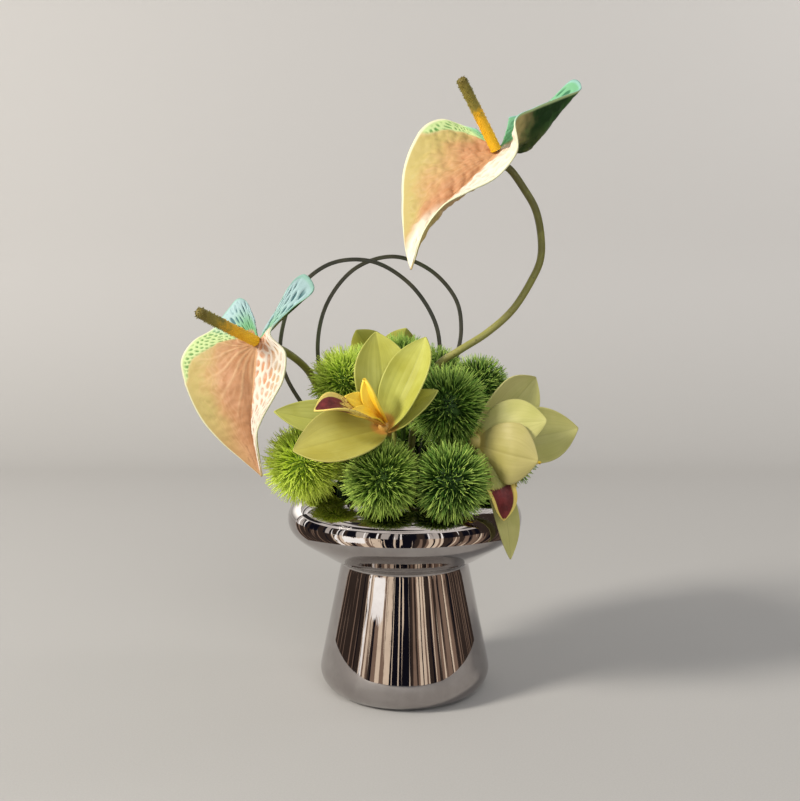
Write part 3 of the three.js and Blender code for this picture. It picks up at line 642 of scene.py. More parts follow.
def frames(points, steps, up=None):
    """Even steps along a line, with the two directions across it at each step. The first of them is
    level with up where that is given, and else it never twists."""
    line = even_line(points, np.linspace(0, 1, steps + 1))
    ahead = unit(np.gradient(line, axis=0))
    if up is None:
        side = np.zeros_like(line)
        side[0] = unit(np.cross(ahead[0], (0.2, 0.9, 0.4)))
        for k in range(1, len(line)):
            side[k] = unit(side[k - 1] - ahead[k] * side[k - 1].dot(ahead[k]))
    else:
        side = unit(np.cross(up, ahead))
    return line, side, np.cross(ahead, side)


def rod(name, points, section, around, along, up=None):
    """A closed rod. section takes the share along and the angle round, and gives the two offsets
    from the line."""
    mesh = mesh_from(cut_cone(around, 1, 1, along - 1, closed=True), name)
    local = mesh_points(mesh)
    share = local[:, 2]
    line, side, across = frames(points, along, up)
    ring = np.rint(share * along).astype(int)
    a, b = section(share, np.arctan2(local[:, 1], local[:, 0]))
    move_points(mesh, line[ring] + a[:, None] * side[ring] + b[:, None] * across[ring])
    mark(mesh, "along", share)
    return mesh


def round_section(radius_at):
    """A circle whose radius may change along the rod."""
    return lambda share, angle: (radius_at(share) * np.cos(angle), radius_at(share) * np.sin(angle))


def soft_end(share, radius, length_share):
    """Radius that rounds off within length_share of both ends, and stays open a little."""
    edge = np.minimum(share, 1 - share) / length_share
    return radius * np.sqrt(1 - (1 - np.clip(edge, END_OPENING, 1)) ** 2)


# %% [markdown]
# ## Stems
# An anthurium's stem is a smooth round stalk, darker olive at the spathe and paler below, with
# small brown flecks. A round rod is enough for it, and the colour follows the number along the rod.

# %% Stems
STEM_RINGS, STEM_END = (20, 160), 0.006

stem_skin, tree, shader = new_material("stem_skin", 0.42, Specular_IOR_Level=0.4)
along = attribute(tree, "along")
skin = blend(tree, ramp(tree, along, 0.1, 0.6), colour(98, 94, 42), colour(150, 146, 78))
paint(tree, shader, layered(tree, skin,
                            (grain(tree, 90, detail=4.0, amount=0.5), colour(138, 138, 64)),
                            (grain(tree, 420, 0.6, 0.75), colour(88, 80, 34))))
bump(tree, shader, grain(tree, 600), 0.3, 0.3)


def stem_radius(share):
    return soft_end(share, ANTHURIUM_STEM_RADIUS, STEM_END)


for side, points in (("left", LEFT_STEM), ("right", RIGHT_STEM)):
    stem = rod(side + "_stem", points, round_section(stem_radius), *STEM_RINGS)
    stand(stem, f"anthurium_{side}_stem", "stem", stem_skin)
print("stems: 2")

# %% [markdown]
# ## Hoops of grass
# Each hoop is one long blade of dark waxy grass, bent over with both ends in the foam. It is a flat bar
# that keeps its narrow side to the front, so its section is level with one fixed direction, where a
# round stem's section may turn as it likes.

# %% Hoops of grass
HOOP_RINGS = 16, 220
BAR_CORNER, BAR_END = 0.6, 0.01

grass_skin, tree, shader = new_material("grass_skin", 0.32, Specular_IOR_Level=0.5)
skin = blend(tree, grain(tree, 60), colour(42, 43, 31), colour(62, 60, 42))
paint(tree, shader, blend(tree, grain(tree, 24, 0.5, 0.7, 0.6), skin, colour(60, 70, 42)))
bump(tree, shader, grain(tree, 500), 0.25, 0.2)


def blade_section(share, angle):
    """A flat bar with soft edges."""
    def soft(c):
        return np.sign(c) * np.abs(c) ** BAR_CORNER
    taper = soft_end(share, 1.0, BAR_END)
    return taper * GRASS_WIDTH / 2 * soft(np.cos(angle)), taper * GRASS_THICKNESS / 2 * soft(np.sin(angle))


for side, points in (("left", GRASS_LEFT), ("right", GRASS_RIGHT)):
    hoop = rod(side + "_hoop", points, blade_section, *HOOP_RINGS, up=(0.0, 1.0, 0.0))
    stand(hoop, f"grass_loop_{side}", "grass", grass_skin)
print("hoops: 2")

# %% [markdown]
# ## Spadices
# A spadix is a fleshy spike covered with hundreds of tiny flowers that open from its foot, so it is
# yellow there and still olive at its end. A bump map could stand for the buds, but they show against
# the sky, so each one is a small mesh. They sit on one long spiral that turns by the golden angle,
# as they grow on the plant, which spreads them evenly without rows.

# %% Spadix skin
spadix_skin, tree, shader = new_material("spadix_skin", 0.5, Specular_IOR_Level=0.3)
ripe = calc(tree, "ADD", attribute(tree, "along"), grain(tree, 160, 0.3, 0.7, 0.22))
skin = blend(tree, ramp(tree, ripe, 0.12, 0.5), colour(255, 206, 34), colour(250, 194, 28))
# Painted shade: the feet of the buds and the spike between them are made darker and browner.
shade_between_buds = calc(tree, "SUBTRACT", 1.0, attribute(tree, "bead"))
paint(tree, shader, layered(tree, skin,
                            (ramp(tree, ripe, 0.52, 0.8), colour(132, 132, 56)),
                            (ramp(tree, ripe, 0.8, 1.15), colour(98, 102, 44)),
                            (times(tree, shade_between_buds, 0.3), colour(150, 96, 16))))
print("spadix nodes:", len(tree.nodes))

# %% Spadices
BUDS, BUD_SIZE, BUD_HEIGHT, BUD_LEAN = 620, 0.7, 0.9, 0.3
BUD_RISES, FIRST_BUD, BUD_SUNK = (0.4, 0.7, 1.4), 0.45, 0.15
BUD_SIDES, BUD_FOOT, BUD_TOP, BUD_BULGE = 6, 0.75, 0.16, 1.25
DOME, BLUNT = 0.05, 0.9
SPADIX_RINGS = 40, 120
BUD_SEED = 46


def spadix_radius(share):
    dome = np.sqrt(1 - BLUNT * np.clip((share - 1 + DOME) / DOME, 0, 1) ** 2)
    return SPADIX_RADIUS * (SPADIX_FOOT - SPADIX_LOST * share) * dome


def one_bud():
    """A round bud with a small point, one unit high, standing on the origin."""
    bm = cut_cone(BUD_SIDES, BUD_FOOT, BUD_TOP, 1, closed=False)
    for vert in [v for v in bm.verts if 0.4 < v.co.z < 0.6]:
        vert.co.xy *= BUD_BULGE
    bmesh.ops.contextual_create(bm, geom=[v for v in bm.verts if v.co.z > 0.99])
    return mesh_from(bm, "bud")


bud = one_bud()


def buds_of(name, points, rng):
    """Buds on one long spiral. They lean to the end of the spadix and stand out further there."""
    line, side, across = frames(points, BUDS - 1)
    share = np.linspace(0, 1, BUDS)
    turn = np.arange(BUDS) * GOLDEN_ANGLE
    out = np.cos(turn)[:, None] * side + np.sin(turn)[:, None] * across
    ahead = unit(np.gradient(line, axis=0))
    around = np.cross(ahead, out)
    bm = bmesh.new()
    for _ in range(BUDS):
        bm.from_mesh(bud)
    mesh = mesh_from(bm, name)
    x, y, z = mesh_points(bud).T[:, None, :, None]
    rise = np.array([rng.choice(BUD_RISES) for _ in range(BUDS)])
    height = BUD_HEIGHT * (FIRST_BUD + (1 - FIRST_BUD) * share) * rise
    base = line + out * (spadix_radius(share) - BUD_SUNK * BUD_HEIGHT)[:, None]
    places = (base[:, None] + BUD_SIZE * (x * around[:, None] + y * ahead[:, None])
              + z * (out + BUD_LEAN * ahead)[:, None] * height[:, None, None])
    move_points(mesh, places.reshape(-1, 3))
    return mesh, np.repeat(share, len(bud.vertices)), np.tile(mesh_points(bud)[:, 2], BUDS)


rng = random.Random(BUD_SEED)
for side, points in (("left", LEFT_SPADIX), ("right", RIGHT_SPADIX)):
    spike = rod(side + "_spadix", points, round_section(spadix_radius), *SPADIX_RINGS)
    share = np.zeros(len(spike.vertices), np.float32)
    spike.attributes["along"].data.foreach_get("value", share)
    buds, bud_share, bead = buds_of(side + "_buds", points, rng)
    whole = joined(side + "_spadix", [spike, buds], along=[share, bud_share], bead=[0 * share, bead])
    stand(whole, f"anthurium_{side}_spadix", "spadix", spadix_skin)
print("spadices: 2, of", BUDS, "buds")

# %% [markdown]
# ## Blades
# Petals and spathes are thin sheets. The real ones are cut from cloth or cast in soft plastic, and
# pressed between hot dies, so the veins stand up in relief. They could be sculpted, but a flat grid
# laid on the surface between the middle line and the margins keeps a clean UV map, across and along
# the blade, for its veins and colours. It gets its thickness last.

# %% A grid laid on a surface
def sheet(name, columns, rows, surface):
    """surface takes u across and v along, 0 to 1, and gives the places in millimetres."""
    mesh = grid_mesh(name, columns, rows)
    local = mesh_points(mesh)
    u, v = (local[:, 0] + 1) / 2, (local[:, 1] + 1) / 2
    move_points(mesh, surface(u, v))
    return mesh, u, v


def solid_sheet(mesh, thickness):
    """The sheet with half its thickness on each side."""
    bm = bmesh.new()
    bm.from_mesh(mesh)
    bmesh.ops.recalc_face_normals(bm, faces=bm.faces)
    for vert in bm.verts:
        vert.co += vert.normal * thickness / 2 * MM
    bmesh.ops.solidify(bm, geom=bm.faces[:], thickness=thickness * MM)
    bm.to_mesh(mesh)
    bm.free()
    return mesh


# %% The shape of a tepal
WIDEST, ROOT_WIDTH, TIP_CURVE, TIP_WIDTH = 0.55, 0.3, 2.2, 0.02
GROOVE_DEPTH, GROOVE_WIDTH = 0.4, 0.9
RIB_HEIGHT, RIBS = 0.05, 9
RUFFLES, RUFFLE_SLANT, NUDGE = 9, 2, 0.005


def tepal_outline(v):
    """Half width at share v of the length, as a share of the full half width."""
    root = 1 - (1 - ROOT_WIDTH) * np.clip((WIDEST - v) / WIDEST, 0, 1) ** 2
    return root - np.clip((v - WIDEST) / (1 - WIDEST), 0, 1) ** TIP_CURVE * (1 - TIP_WIDTH)


def tepal_surface(spine, width, cup, face, ruffle, seed):
    """A pointed blade along a spine: widest past its middle, cupped, with a groove and fine ribs."""
    phase = random.Random(seed).uniform(0, 6)

    def surface(u, v):
        centre = smooth_line(spine, v)
        before, after = np.maximum(v - NUDGE, 0), np.minimum(v + NUDGE, 1)
        ahead = unit(smooth_line(spine, after) - smooth_line(spine, before))
        across = unit(np.cross(ahead, face))
        up = np.cross(across, ahead)
        half = width / 2 * tepal_outline(v)
        t = 2 * u - 1
        groove = -GROOVE_DEPTH * np.exp(-(t * half / GROOVE_WIDTH) ** 2) * np.sin(math.pi * v) ** 0.5
        ribs = RIB_HEIGHT * np.cos(math.pi * RIBS * t) * np.sin(math.pi * v)
        wave = np.sin(v * RUFFLES + phase + RUFFLE_SLANT * t)
        ripple = ruffle * wave * np.abs(t) ** 1.5 * np.sin(math.pi * v)
        rise = cup * half * t**2 + groove + ribs + ripple
        return centre + across * (half * t)[:, None] + up * rise[:, None]

    return surface


def blade_mesh(name, plan, thickness, columns, rows, ruffle, seed):
    """A blade with its thickness, as one closed mesh."""
    mesh, _, _ = sheet(name, columns, rows, tepal_surface(*plan, ruffle, seed))
    return solid_sheet(mesh, thickness)


# %% [markdown]
# ## Orchids
# An orchid has five tepals round a small knob, a lip with two side lobes and a column over it. Each
# bloom's tepals, knob and pedicel are one piece, as wire and glue hold an artificial bloom together.
# The tepals are waxy and yellow-green, with fine veins from root to tip and a reddish blush where
# they meet. A painted image could show that, but a recipe on the blade's own UV map stays sharp at
# any distance, and the same one gives both kinds of bloom their tints.

# %% Petal materials
# The tepal with this number hangs lowest, or faces the front, and is a little browner.
BROWN_TEPAL, BROWNED = 3, colour(150, 112, 66)


def petal_skin(name, young, full, pale, vein, blush):
    """A tepal's skin: its root tint at the root, full further out, pale in clouds and on the margins."""
    material, tree, shader = new_material(name, 0.5, Specular_IOR_Level=0.3)
    across, along = uv_of(tree)
    veins = fine_veins(tree, 30)
    middle, blade = from_middle(tree, across), attribute(tree, "blade")
    brown = times(tree, ramp(tree, blade, BROWN_TEPAL - 0.6, BROWN_TEPAL - 0.4),
                  ramp(tree, blade, BROWN_TEPAL + 0.6, BROWN_TEPAL + 0.4))
    root = ramp(tree, calc(tree, "ADD", attribute(tree, "root"), grain(tree, 90, amount=0.25)), 0.35, 0.95)
    skin = blend(tree, ramp(tree, along, 0.15, 0.8), young, full)
    paint(tree, shader, layered(tree, skin,
                                (grain(tree, 26, amount=0.7), pale),
                                (ramp(tree, along, 0.8, 1.0, 0.0, 0.4), pale),
                                (ramp(tree, veins, 0.45, 0.7, 0.0, 0.22), vein),
                                (ramp(tree, middle, 0.035, 0.0, 0.0, 0.35), vein),
                                (ramp(tree, middle, 0.47, 0.5, 0.0, 0.5), pale),
                                (times(tree, brown, 0.26), BROWNED),
                                (times(tree, root, 0.55), blush)))
    bump(tree, shader, veins, 0.3, 0.25)
    return material


orchid_green = petal_skin("orchid_green", young=colour(156, 156, 52), full=colour(166, 164, 60),
                          pale=colour(190, 192, 98), vein=colour(142, 144, 52), blush=colour(198, 116, 56))
orchid_khaki = petal_skin("orchid_khaki", young=colour(166, 164, 92), full=colour(174, 172, 98),
                          pale=colour(196, 190, 124), vein=colour(150, 148, 80), blush=colour(196, 170, 84))
print("petal materials:", orchid_green.name, "and", orchid_khaki.name)

# %% [markdown]
# ## Lip and column
# The lip is the orchid's landing place: a thicker blade, yellow with brown specks, and maroon in front
# with a ragged edge where a brush has painted it. One side lobe is speckled, and the other lobe and
# the column are plain yolk yellow. So the lobes of a lip are one piece with three materials, and the
# maroon patch is a mask drawn over the blade's own UV map, with veins that fray its edge.

# %% Lip and column materials
THROAT_GREEN = colour(160, 160, 84)

yolk, tree, shader = new_material("yolk_skin", 0.42, Specular_IOR_Level=0.35)
across, along = uv_of(tree)
skin = blend(tree, ramp(tree, along, 0.0, 0.6), colour(230, 168, 30), colour(250, 212, 54))
skin = blend(tree, grain(tree, 130, amount=0.5), skin, colour(250, 224, 92))
skin = blend(tree, ramp(tree, fine_veins(tree, 16), 0.5, 0.75, 0.0, 0.4), skin, colour(216, 160, 30))
paint(tree, shader, blend(tree, attribute(tree, "throat"), skin, THROAT_GREEN))
bump(tree, shader, grain(tree, 300), 0.25, 0.2)

speckled, tree, shader = new_material("speckled_skin", 0.45, Specular_IOR_Level=0.35)
across, along = uv_of(tree)
skin = blend(tree, ramp(tree, along, 0.05, 0.5), colour(224, 172, 50), colour(240, 208, 66))
spot = times(tree, grain(tree, 640, 0.54, 0.6), ramp(tree, along, 0.62, 0.4))
skin = blend(tree, spot, skin, colour(140, 56, 30))
paint(tree, shader, blend(tree, attribute(tree, "throat"), skin, THROAT_GREEN))
bump(tree, shader, grain(tree, 380), 0.35, 0.3)

painted_lip, tree, shader = new_material("painted_lip_skin", 0.48, Specular_IOR_Level=0.35)
across, along = uv_of(tree)
rough_edge = calc(tree, "MULTIPLY_ADD", fine_veins(tree, 18), 0.5, -0.25)
inside = ramp(tree, calc(tree, "ADD", from_middle(tree, across), times(tree, rough_edge, 0.3)), 0.41, 0.37)
begins = ramp(tree, calc(tree, "ADD", along, rough_edge), 0.45, 0.49)
patch = times(tree, inside, begins, ramp(tree, along, 0.985, 0.95))
skin = blend(tree, ramp(tree, along, 0.1, 0.5), colour(216, 156, 60), colour(232, 208, 108))
spot = times(tree, grain(tree, 640, 0.55, 0.62), ramp(tree, along, 0.6, 0.5))
maroon = blend(tree, grain(tree, 150), colour(88, 28, 28), colour(120, 42, 42))
skin = layered(tree, skin, (spot, colour(150, 66, 40)), (patch, maroon))
paint(tree, shader, blend(tree, ramp(tree, attribute(tree, "throat"), 0.8, 1.0), skin, THROAT_GREEN))
bump(tree, shader, grain(tree, 380), 0.45, 0.4)
print("lip materials:", painted_lip.name, speckled.name, yolk.name)

# %% [markdown]
# ## Three blooms
# One blade function shapes every tepal, lobe and hood from its own spine, so no two are alike. What
# the materials can't know, such as how near a point is to the middle of the bloom, is worked out from
# the finished shape and marked on its points.

# %% Shape the three orchids
TEPAL_GRID, LIP_GRID, HOOD_GRID = (44, 60), (30, 44), (24, 40)
PEDICEL_RINGS, PEDICEL_END = (16, 60), 0.01
TEPAL_RUFFLE, LIP_RUFFLE = 0.6, 0.7
LIP_SEED, HOOD_SEED = 20, 30
# How far from the middle of a bloom a tint begins, and where it is full.
BLUSH = 17, 6
GREEN_THROAT = {"orchid_right": (46, 36)}
NO_THROAT = 1, 0


def knob(centre, radius):
    """The round middle that holds the tepals."""
    bm = bmesh.new()
    bm.loops.layers.uv.new("UVMap")
    bmesh.ops.create_icosphere(bm, subdivisions=BALL_DETAIL, radius=radius * MM, calc_uvs=True)
    bmesh.ops.translate(bm, verts=bm.verts, vec=Vector(centre) * MM)
    return mesh_from(bm, "knob")


def numbered(meshes):
    """For each mesh its number on every point, so that no two blades have the same veins."""
    return {"blade": [np.full(len(mesh.vertices), k) for k, mesh in enumerate(meshes)]}


def nearness(meshes, centre, far, near):
    """0 far from the middle of the bloom, 1 near it."""
    return [soft_step(np.linalg.norm(mesh_points(mesh) / MM - centre, axis=1), far, near)
            for mesh in meshes]


def pedicel_radius(share):
    return soft_end(share, PEDICEL_RADIUS, PEDICEL_END)


for name, plan in ORCHIDS.items():
    tepals = [blade_mesh(name, t, PETAL_THICKNESS, *TEPAL_GRID, TEPAL_RUFFLE, k)
              for k, t in enumerate(plan["tepals"])]
    pedicel = rod(name, plan["pedicel"], round_section(pedicel_radius), *PEDICEL_RINGS)
    parts = tepals + [knob(plan["centre"], HUB_RADIUS), pedicel]
    flower = joined(name + "_tepals", parts, root=nearness(parts, plan["centre"], *BLUSH), **numbered(parts))
    stand(flower, name + "_petals", "orchid_green", orchid_khaki if name == "orchid_right" else orchid_green)

    lobes = [blade_mesh(name, t, LIP_THICKNESS, *LIP_GRID, LIP_RUFFLE, LIP_SEED + k)
             for k, t in enumerate(plan["lip"])]
    throat = nearness(lobes, plan["centre"], *GREEN_THROAT.get(name, NO_THROAT))
    lip = joined(name + "_lip_lobes", lobes, throat=throat, **numbered(lobes))
    stand(lip, name + "_lip", "orchid_lip", painted_lip, speckled, yolk)
    look = np.repeat(range(len(lobes)), [len(lobe.polygons) for lobe in lobes])
    lip.polygons.foreach_set("material_index", look.astype(np.int32))

    hood = blade_mesh(name + "_column_hood", plan["column"], COLUMN_THICKNESS, *HOOD_GRID, 0.0, HOOD_SEED)
    stand(hood, name + "_column", "orchid_yellow", yolk)
print("orchids:", len(ORCHIDS))

# %% [markdown]
# ## Spathes
# The spathe is the coloured leaf behind an anthurium's spadix. Its two lobes and its point are one
# sheet, folded along the midrib and curled at the margins. It could be sculpted from a flat heart, but
# a net of a few lines, from the middle out to each margin, bends like the wired leaf does.

# %% Spathe surface
def spathe_surface(net):
    """The folded leaf: u goes from the outer margin over the midrib at 0.5 to the inner one, and v
    from the notch between the lobes to the tip."""
    lobe_rows = len(net["outer"]) - len(net["midrib"])
    spine = [net["centre"]] * lobe_rows + net["midrib"] + [net["tip"]]
    lobe_end = (lobe_rows - 1) / (len(spine) - 1)

    def line(half, k, v):
        return smooth_line([row[k] for row in net[half]] + [net["tip"]], v, 0)

    def surface(u, v):
        t = np.abs(2 * u - 1)[:, None]
        is_outer = (u < 0.5)[:, None]
        middle = np.where(is_outer, line("outer", 0, v), line("inner", 0, v))
        edge = np.where(is_outer, line("outer", 1, v), line("inner", 1, v))
        root = np.where((v < lobe_end)[:, None], np.array(net["centre"], float), smooth_line(spine, v, 0))
        through = 2 * middle - 0.5 * root - 0.5 * edge
        return root * (1 - t) ** 2 + through * 2 * t * (1 - t) + edge * t**2

    return surface


# %% [markdown]
# ## Veins and paint of a spathe
# The die presses raised veins into the leaf, and where it is painted green or cream the veins close
# up into a net of lens-shaped cells. The paint follows that relief. A noise texture draws round
# cells only, so the net is worked out on the points of the sheet, once, and gives both the height of
# the surface and the masks that the material reads.

# %% Veins and cells
GREEN_CELLS, CREAM_CELLS = (46, 10), (22, 6.5)
EAR_CELLS, SPOON_CELLS = (34, 3.2), (27, 7)
MAIN_VEINS, VEIN_WIDTH = 8.5, 0.007
CELL_WAVER, CELL_CHANGE, CELL_EDGE = (0.35, 0.3), 0.4, 0.4
NET_DEPTH, VEIN_HEIGHT, TWIG_HEIGHT = 0.7, 0.35, 0.12


def wander(a, b, seed):
    """A slow waver between -1 and 1 over the sheet."""
    rng = random.Random(seed)
    waves = [(rng.uniform(4, 13), rng.uniform(9, 30), rng.uniform(0, 6)) for _ in range(5)]
    return sum(np.sin(p * a + q * b + r) for p, q, r in waves) / 3


def lens_cells(x, y, seed):
    """1 in the middle of each lens-shaped cell, 0 on the net between them. Every other row of cells
    is moved on by half a cell."""
    x = x + CELL_WAVER[0] * wander(x / 20, y / 8, seed)
    row = np.floor(x)
    y = y + 0.5 * (row % 2) + CELL_WAVER[1] * wander(y / 8, x / 20, seed + 1)
    a, b = 2 * np.abs(x - row - 0.5), 2 * np.abs(y - np.floor(y) - 0.5)
    smaller = CELL_CHANGE * np.abs(np.sin(12.9 * row + 78.2 * np.floor(y) + seed))
    return soft_step(1 - a**2 - b**2 - smaller, 0.0, CELL_EDGE)


def raised_veins(run, v, start, seed):
    """Main veins that fan out from the spadix at start, and twigs that leave them at a slant."""
    down, out = v - start, 0.45 * run
    x = np.arctan2(down, out) * MAIN_VEINS / math.pi + 0.25 * wander(run, v, seed)
    away = np.abs(x - np.round(x))
    far = np.hypot(down, out)
    main = np.exp(-((away * far * math.pi / MAIN_VEINS / VEIN_WIDTH) ** 2)) * soft_step(far, 0.42, 0.12)
    y = run * 9 - 2.2 * away + 0.8 * wander(v, run, seed + 2)
    twig = np.exp(-(((y - np.round(y)) / 0.12) ** 2)) * soft_step(run, 0.95, 0.6)
    return main, twig * (1 - main)


# %% Where each colour of a spathe begins
# green_edge: places along the outer half, and how far out from the spadix the green begins there.
# lobe_end: places outwards on the inner lobe, and how far along its green ends there.
# mint_end: how far along the sea green of the ears reaches. The others are shares: of brown in the
# cream cells, of blue in the sea green, of cream on the tip, and of how high each relief stands.
PAINT = {
    "left": {
        "green_edge": ([0, 0.30, 0.36, 0.41, 0.50, 0.60, 0.66],
                       [0.25, 0.30, 0.38, 0.58, 0.77, 0.92, 1.1]),
        "lobe_end": ([0, 1], [0.34, 0.49]),
        "mint_end": 0.32, "spots": 1.0, "cool": 1.0, "cream_tip": 0.0,
        "veins": 1.0, "net": 1.0, "crumple": 0.8,
    },
    "right": {
        "green_edge": ([0, 0.08, 0.17, 0.25, 0.33], [0.35, 0.55, 0.72, 0.90, 1.1]),
        "lobe_end": ([0, 0.15, 0.3, 0.6, 1], [0.05, 0.08, 0.14, 0.46, 0.5]),
        "mint_end": 0.05, "spots": 0.35, "cool": 0.0, "cream_tip": 1.0,
        "veins": 0.45, "net": 0.5, "crumple": 1.7,
    },
}
print("painted spathes:", ", ".join(PAINT))

# %% Relief and paint of a spathe
CRUMPLE_SIZE, CRUMPLE_FADE, CRUMPLE_STEP, CRUMPLE_DETAIL = 8.5, 0.7, 2.1, 2
SOFT_EDGE, MINT_EDGE = 0.03, 0.05


def crumple(places):
    """Soft creases all over, as of a leaf that was pressed while it was wet."""
    return np.array([noise.fractal(Vector(place) / CRUMPLE_SIZE, CRUMPLE_FADE, CRUMPLE_STEP, CRUMPLE_DETAIL)
                     for place in places])


def spathe_marks(side, start, u, v):
    """What the paint and the relief are at every point of the sheet."""
    plan = PAINT[side]
    run, outer = np.abs(2 * u - 1), u < 0.5
    seed, mint_end = len(side), plan["mint_end"]

    def cells_of(count, more):
        return lens_cells(v * count[0], run * count[1], seed + more)

    # Where the green, the mint and the cream lie.
    edge = np.interp(v, *plan["green_edge"]) + SOFT_EDGE * wander(v, run, seed)
    end = np.interp(run, *plan["lobe_end"]) + SOFT_EDGE / 3 * wander(v, run, seed)
    on_outer = soft_step(run, edge - SOFT_EDGE, edge + SOFT_EDGE)
    on_inner = soft_step(v, end + SOFT_EDGE, end - SOFT_EDGE)
    green = np.where(outer, on_outer, on_inner)
    mint = green * np.where(outer, soft_step(v, mint_end + MINT_EDGE, mint_end - MINT_EDGE), 1.0)
    cream = np.where(outer, 0.0, 1 - on_inner) * soft_step(run, 0.03, 0.1)

    # The net of cells, the veins, and the height of both.
    sea_cells = np.where(outer, cells_of(EAR_CELLS, 3), cells_of(SPOON_CELLS, 4))
    cream_cells = lens_cells(run * CREAM_CELLS[1], v * CREAM_CELLS[0], seed + 6)
    cells = np.where(cream > 0.5, cream_cells, np.where(mint > 0.5, sea_cells, cells_of(GREEN_CELLS, 0)))
    main, twig = raised_veins(run, v, start, seed)
    main *= plan["veins"] * soft_step(run, 0.98, 0.8)
    seam = np.where(outer, np.exp(-(((run - edge) / 0.025) ** 2)) * (v > mint_end), 0.0)
    netted = np.maximum(green, cream) * soft_step(run, 0.97, 0.9)
    rib = soft_step(run, 0.05, 0.0) * soft_step(v, 0.46, 0.52)
    vein = np.maximum(np.maximum(main, seam) * (1 - netted), rib)
    height = (plan["net"] * NET_DEPTH * netted * (1 - cells) + VEIN_HEIGHT * vein
              + TWIG_HEIGHT * twig * (1 - netted)) * soft_step(run, 0.0, 0.08)
    loose = (1 - green) * soft_step(run, 0.0, 0.1) * soft_step(run, 1.0, 0.8) * soft_step(v, 1.0, 0.85)
    tip = plan["cream_tip"] * soft_step(v + 0.1 * (1 - run), 0.8, 0.93)
    all_over = {key: np.full(len(u), plan[key]) for key in ("cool", "spots")}
    return height, {"loose": loose, "green": green, "mint": mint, "cream": cream, "cell": cells * netted,
                    "vein": vein, "twig": twig, "tip": tip, **all_over}


# %% [markdown]
# ## Colours of a spathe
# The face goes from peach round the spadix to fresh green and cool sea green on the ears, with a
# cream fold that has washed brown cells. The back is plain leaf green and tan. Both could be one
# material that asks which side it is on, but two slots on one closed sheet are plainer, and each
# side can then be read as its own recipe.

# %% Paint of the face
spathe_face, tree, shader = new_material("spathe_face", 0.55, Specular_IOR_Level=0.25)
across, along = uv_of(tree)
run = calc(tree, "MULTIPLY", from_middle(tree, across), 2.0)
outer = ramp(tree, across, 0.505, 0.495)
green, mint, cream, cell = (attribute(tree, name) for name in ("green", "mint", "cream", "cell"))
fine = grain(tree, 130, detail=4.0)

# Peach round the spadix, paler on veins and twigs, greenish towards the outer margin.
peach = blend(tree, grain(tree, 26, detail=4.0), colour(190, 136, 95), colour(180, 124, 78))
peach = blend(tree, times(tree, fine, 0.35), peach, colour(198, 148, 108))
loose = calc(tree, "ADD", run, grain(tree, 30, 0.3, 0.7, 0.25))
greenish = times(tree, outer, ramp(tree, loose, 0.4, 1.05, 0.0, 0.9),
                 ramp(tree, along, 0.95, 0.72, 0.2, 1.0))
peach = blend(tree, greenish, peach, colour(182, 168, 100))
peach = blend(tree, times(tree, attribute(tree, "twig"), 0.2), peach, colour(222, 178, 134))
skin = blend(tree, times(tree, attribute(tree, "vein"), 0.55), peach, colour(222, 184, 138))
skin = blend(tree, attribute(tree, "tip"), skin, colour(236, 226, 204))

# The cream fold, with an orange blush near the spadix and washed brown cells.
blush = times(tree, cream, ramp(tree, run, 0.7, 0.3), ramp(tree, along, 0.6, 0.5), attribute(tree, "spots"))
pale = blend(tree, times(tree, blush, 0.8), colour(232, 220, 202), colour(220, 146, 94))
spot = times(tree, cell, attribute(tree, "spots"), ramp(tree, run, 0.95, 0.8),
             calc(tree, "MULTIPLY_ADD", grain(tree, 60, 0.35, 0.6), 0.65, 0.35))
washed = blend(tree, ramp(tree, run, 0.35, 0.8), colour(206, 142, 98), colour(196, 166, 122))
skin = blend(tree, cream, skin, blend(tree, spot, pale, washed))

# Fresh green cells, then sea green ones with dark slots on the ears.
fresh = blend(tree, cell, colour(192, 212, 146), colour(96, 142, 74))
far = blend(tree, attribute(tree, "cool"), colour(124, 184, 138), colour(168, 200, 200))
sea = blend(tree, ramp(tree, run, 0.35, 0.85), colour(116, 180, 126), far)
begins = calc(tree, "MULTIPLY_ADD", outer, -0.28, 0.6)
slot = times(tree, ramp(tree, cell, 0.3, 0.8), ramp(tree, calc(tree, "SUBTRACT", run, begins), 0.0, 0.12),
             ramp(tree, calc(tree, "MULTIPLY_ADD", outer, 0.1, run), 0.97, 0.88),
             ramp(tree, along, 0.04, 0.1))
dark = blend(tree, attribute(tree, "cool"), colour(58, 116, 80), colour(50, 104, 110))
sea = blend(tree, times(tree, slot, 0.95), sea, dark)
skin = blend(tree, green, skin, blend(tree, mint, fresh, sea))

# A pale rim, and a little shade over the cooler one of the two.
rim = blend(tree, mint, colour(226, 224, 186), colour(150, 196, 180))
skin = blend(tree, ramp(tree, run, 0.96, 0.985), skin, rim)
paint(tree, shader, blend(tree, times(tree, attribute(tree, "cool"), 0.13), skin, colour(92, 80, 64)))
bump(tree, shader, fine, 0.35, 0.4)
print("face nodes:", len(tree.nodes))

# %% Paint of the back
spathe_back, tree, shader = new_material("spathe_back", 0.5, Specular_IOR_Level=0.15)
across, along = uv_of(tree)
run = calc(tree, "MULTIPLY", from_middle(tree, across), 2.0)
tan = blend(tree, grain(tree, 30, detail=4.0), colour(206, 172, 124), colour(186, 166, 104))
leaf = blend(tree, grain(tree, 40, 0.4, 0.6), colour(30, 58, 22), colour(56, 92, 40))
olive = times(tree, ramp(tree, run, 0.85, 0.3), grain(tree, 34, 0.3, 0.6))
leaf = blend(tree, olive, leaf, colour(120, 124, 66))
loose = calc(tree, "ADD", along, grain(tree, 34, 0.3, 0.7, 0.1))
skin = blend(tree, ramp(tree, loose, 0.6, 0.44), tan, leaf)
skin = blend(tree, times(tree, attribute(tree, "vein"), 0.5), skin, colour(150, 164, 96))
paint(tree, shader, blend(tree, ramp(tree, run, 0.965, 0.99), skin, colour(168, 188, 128)))
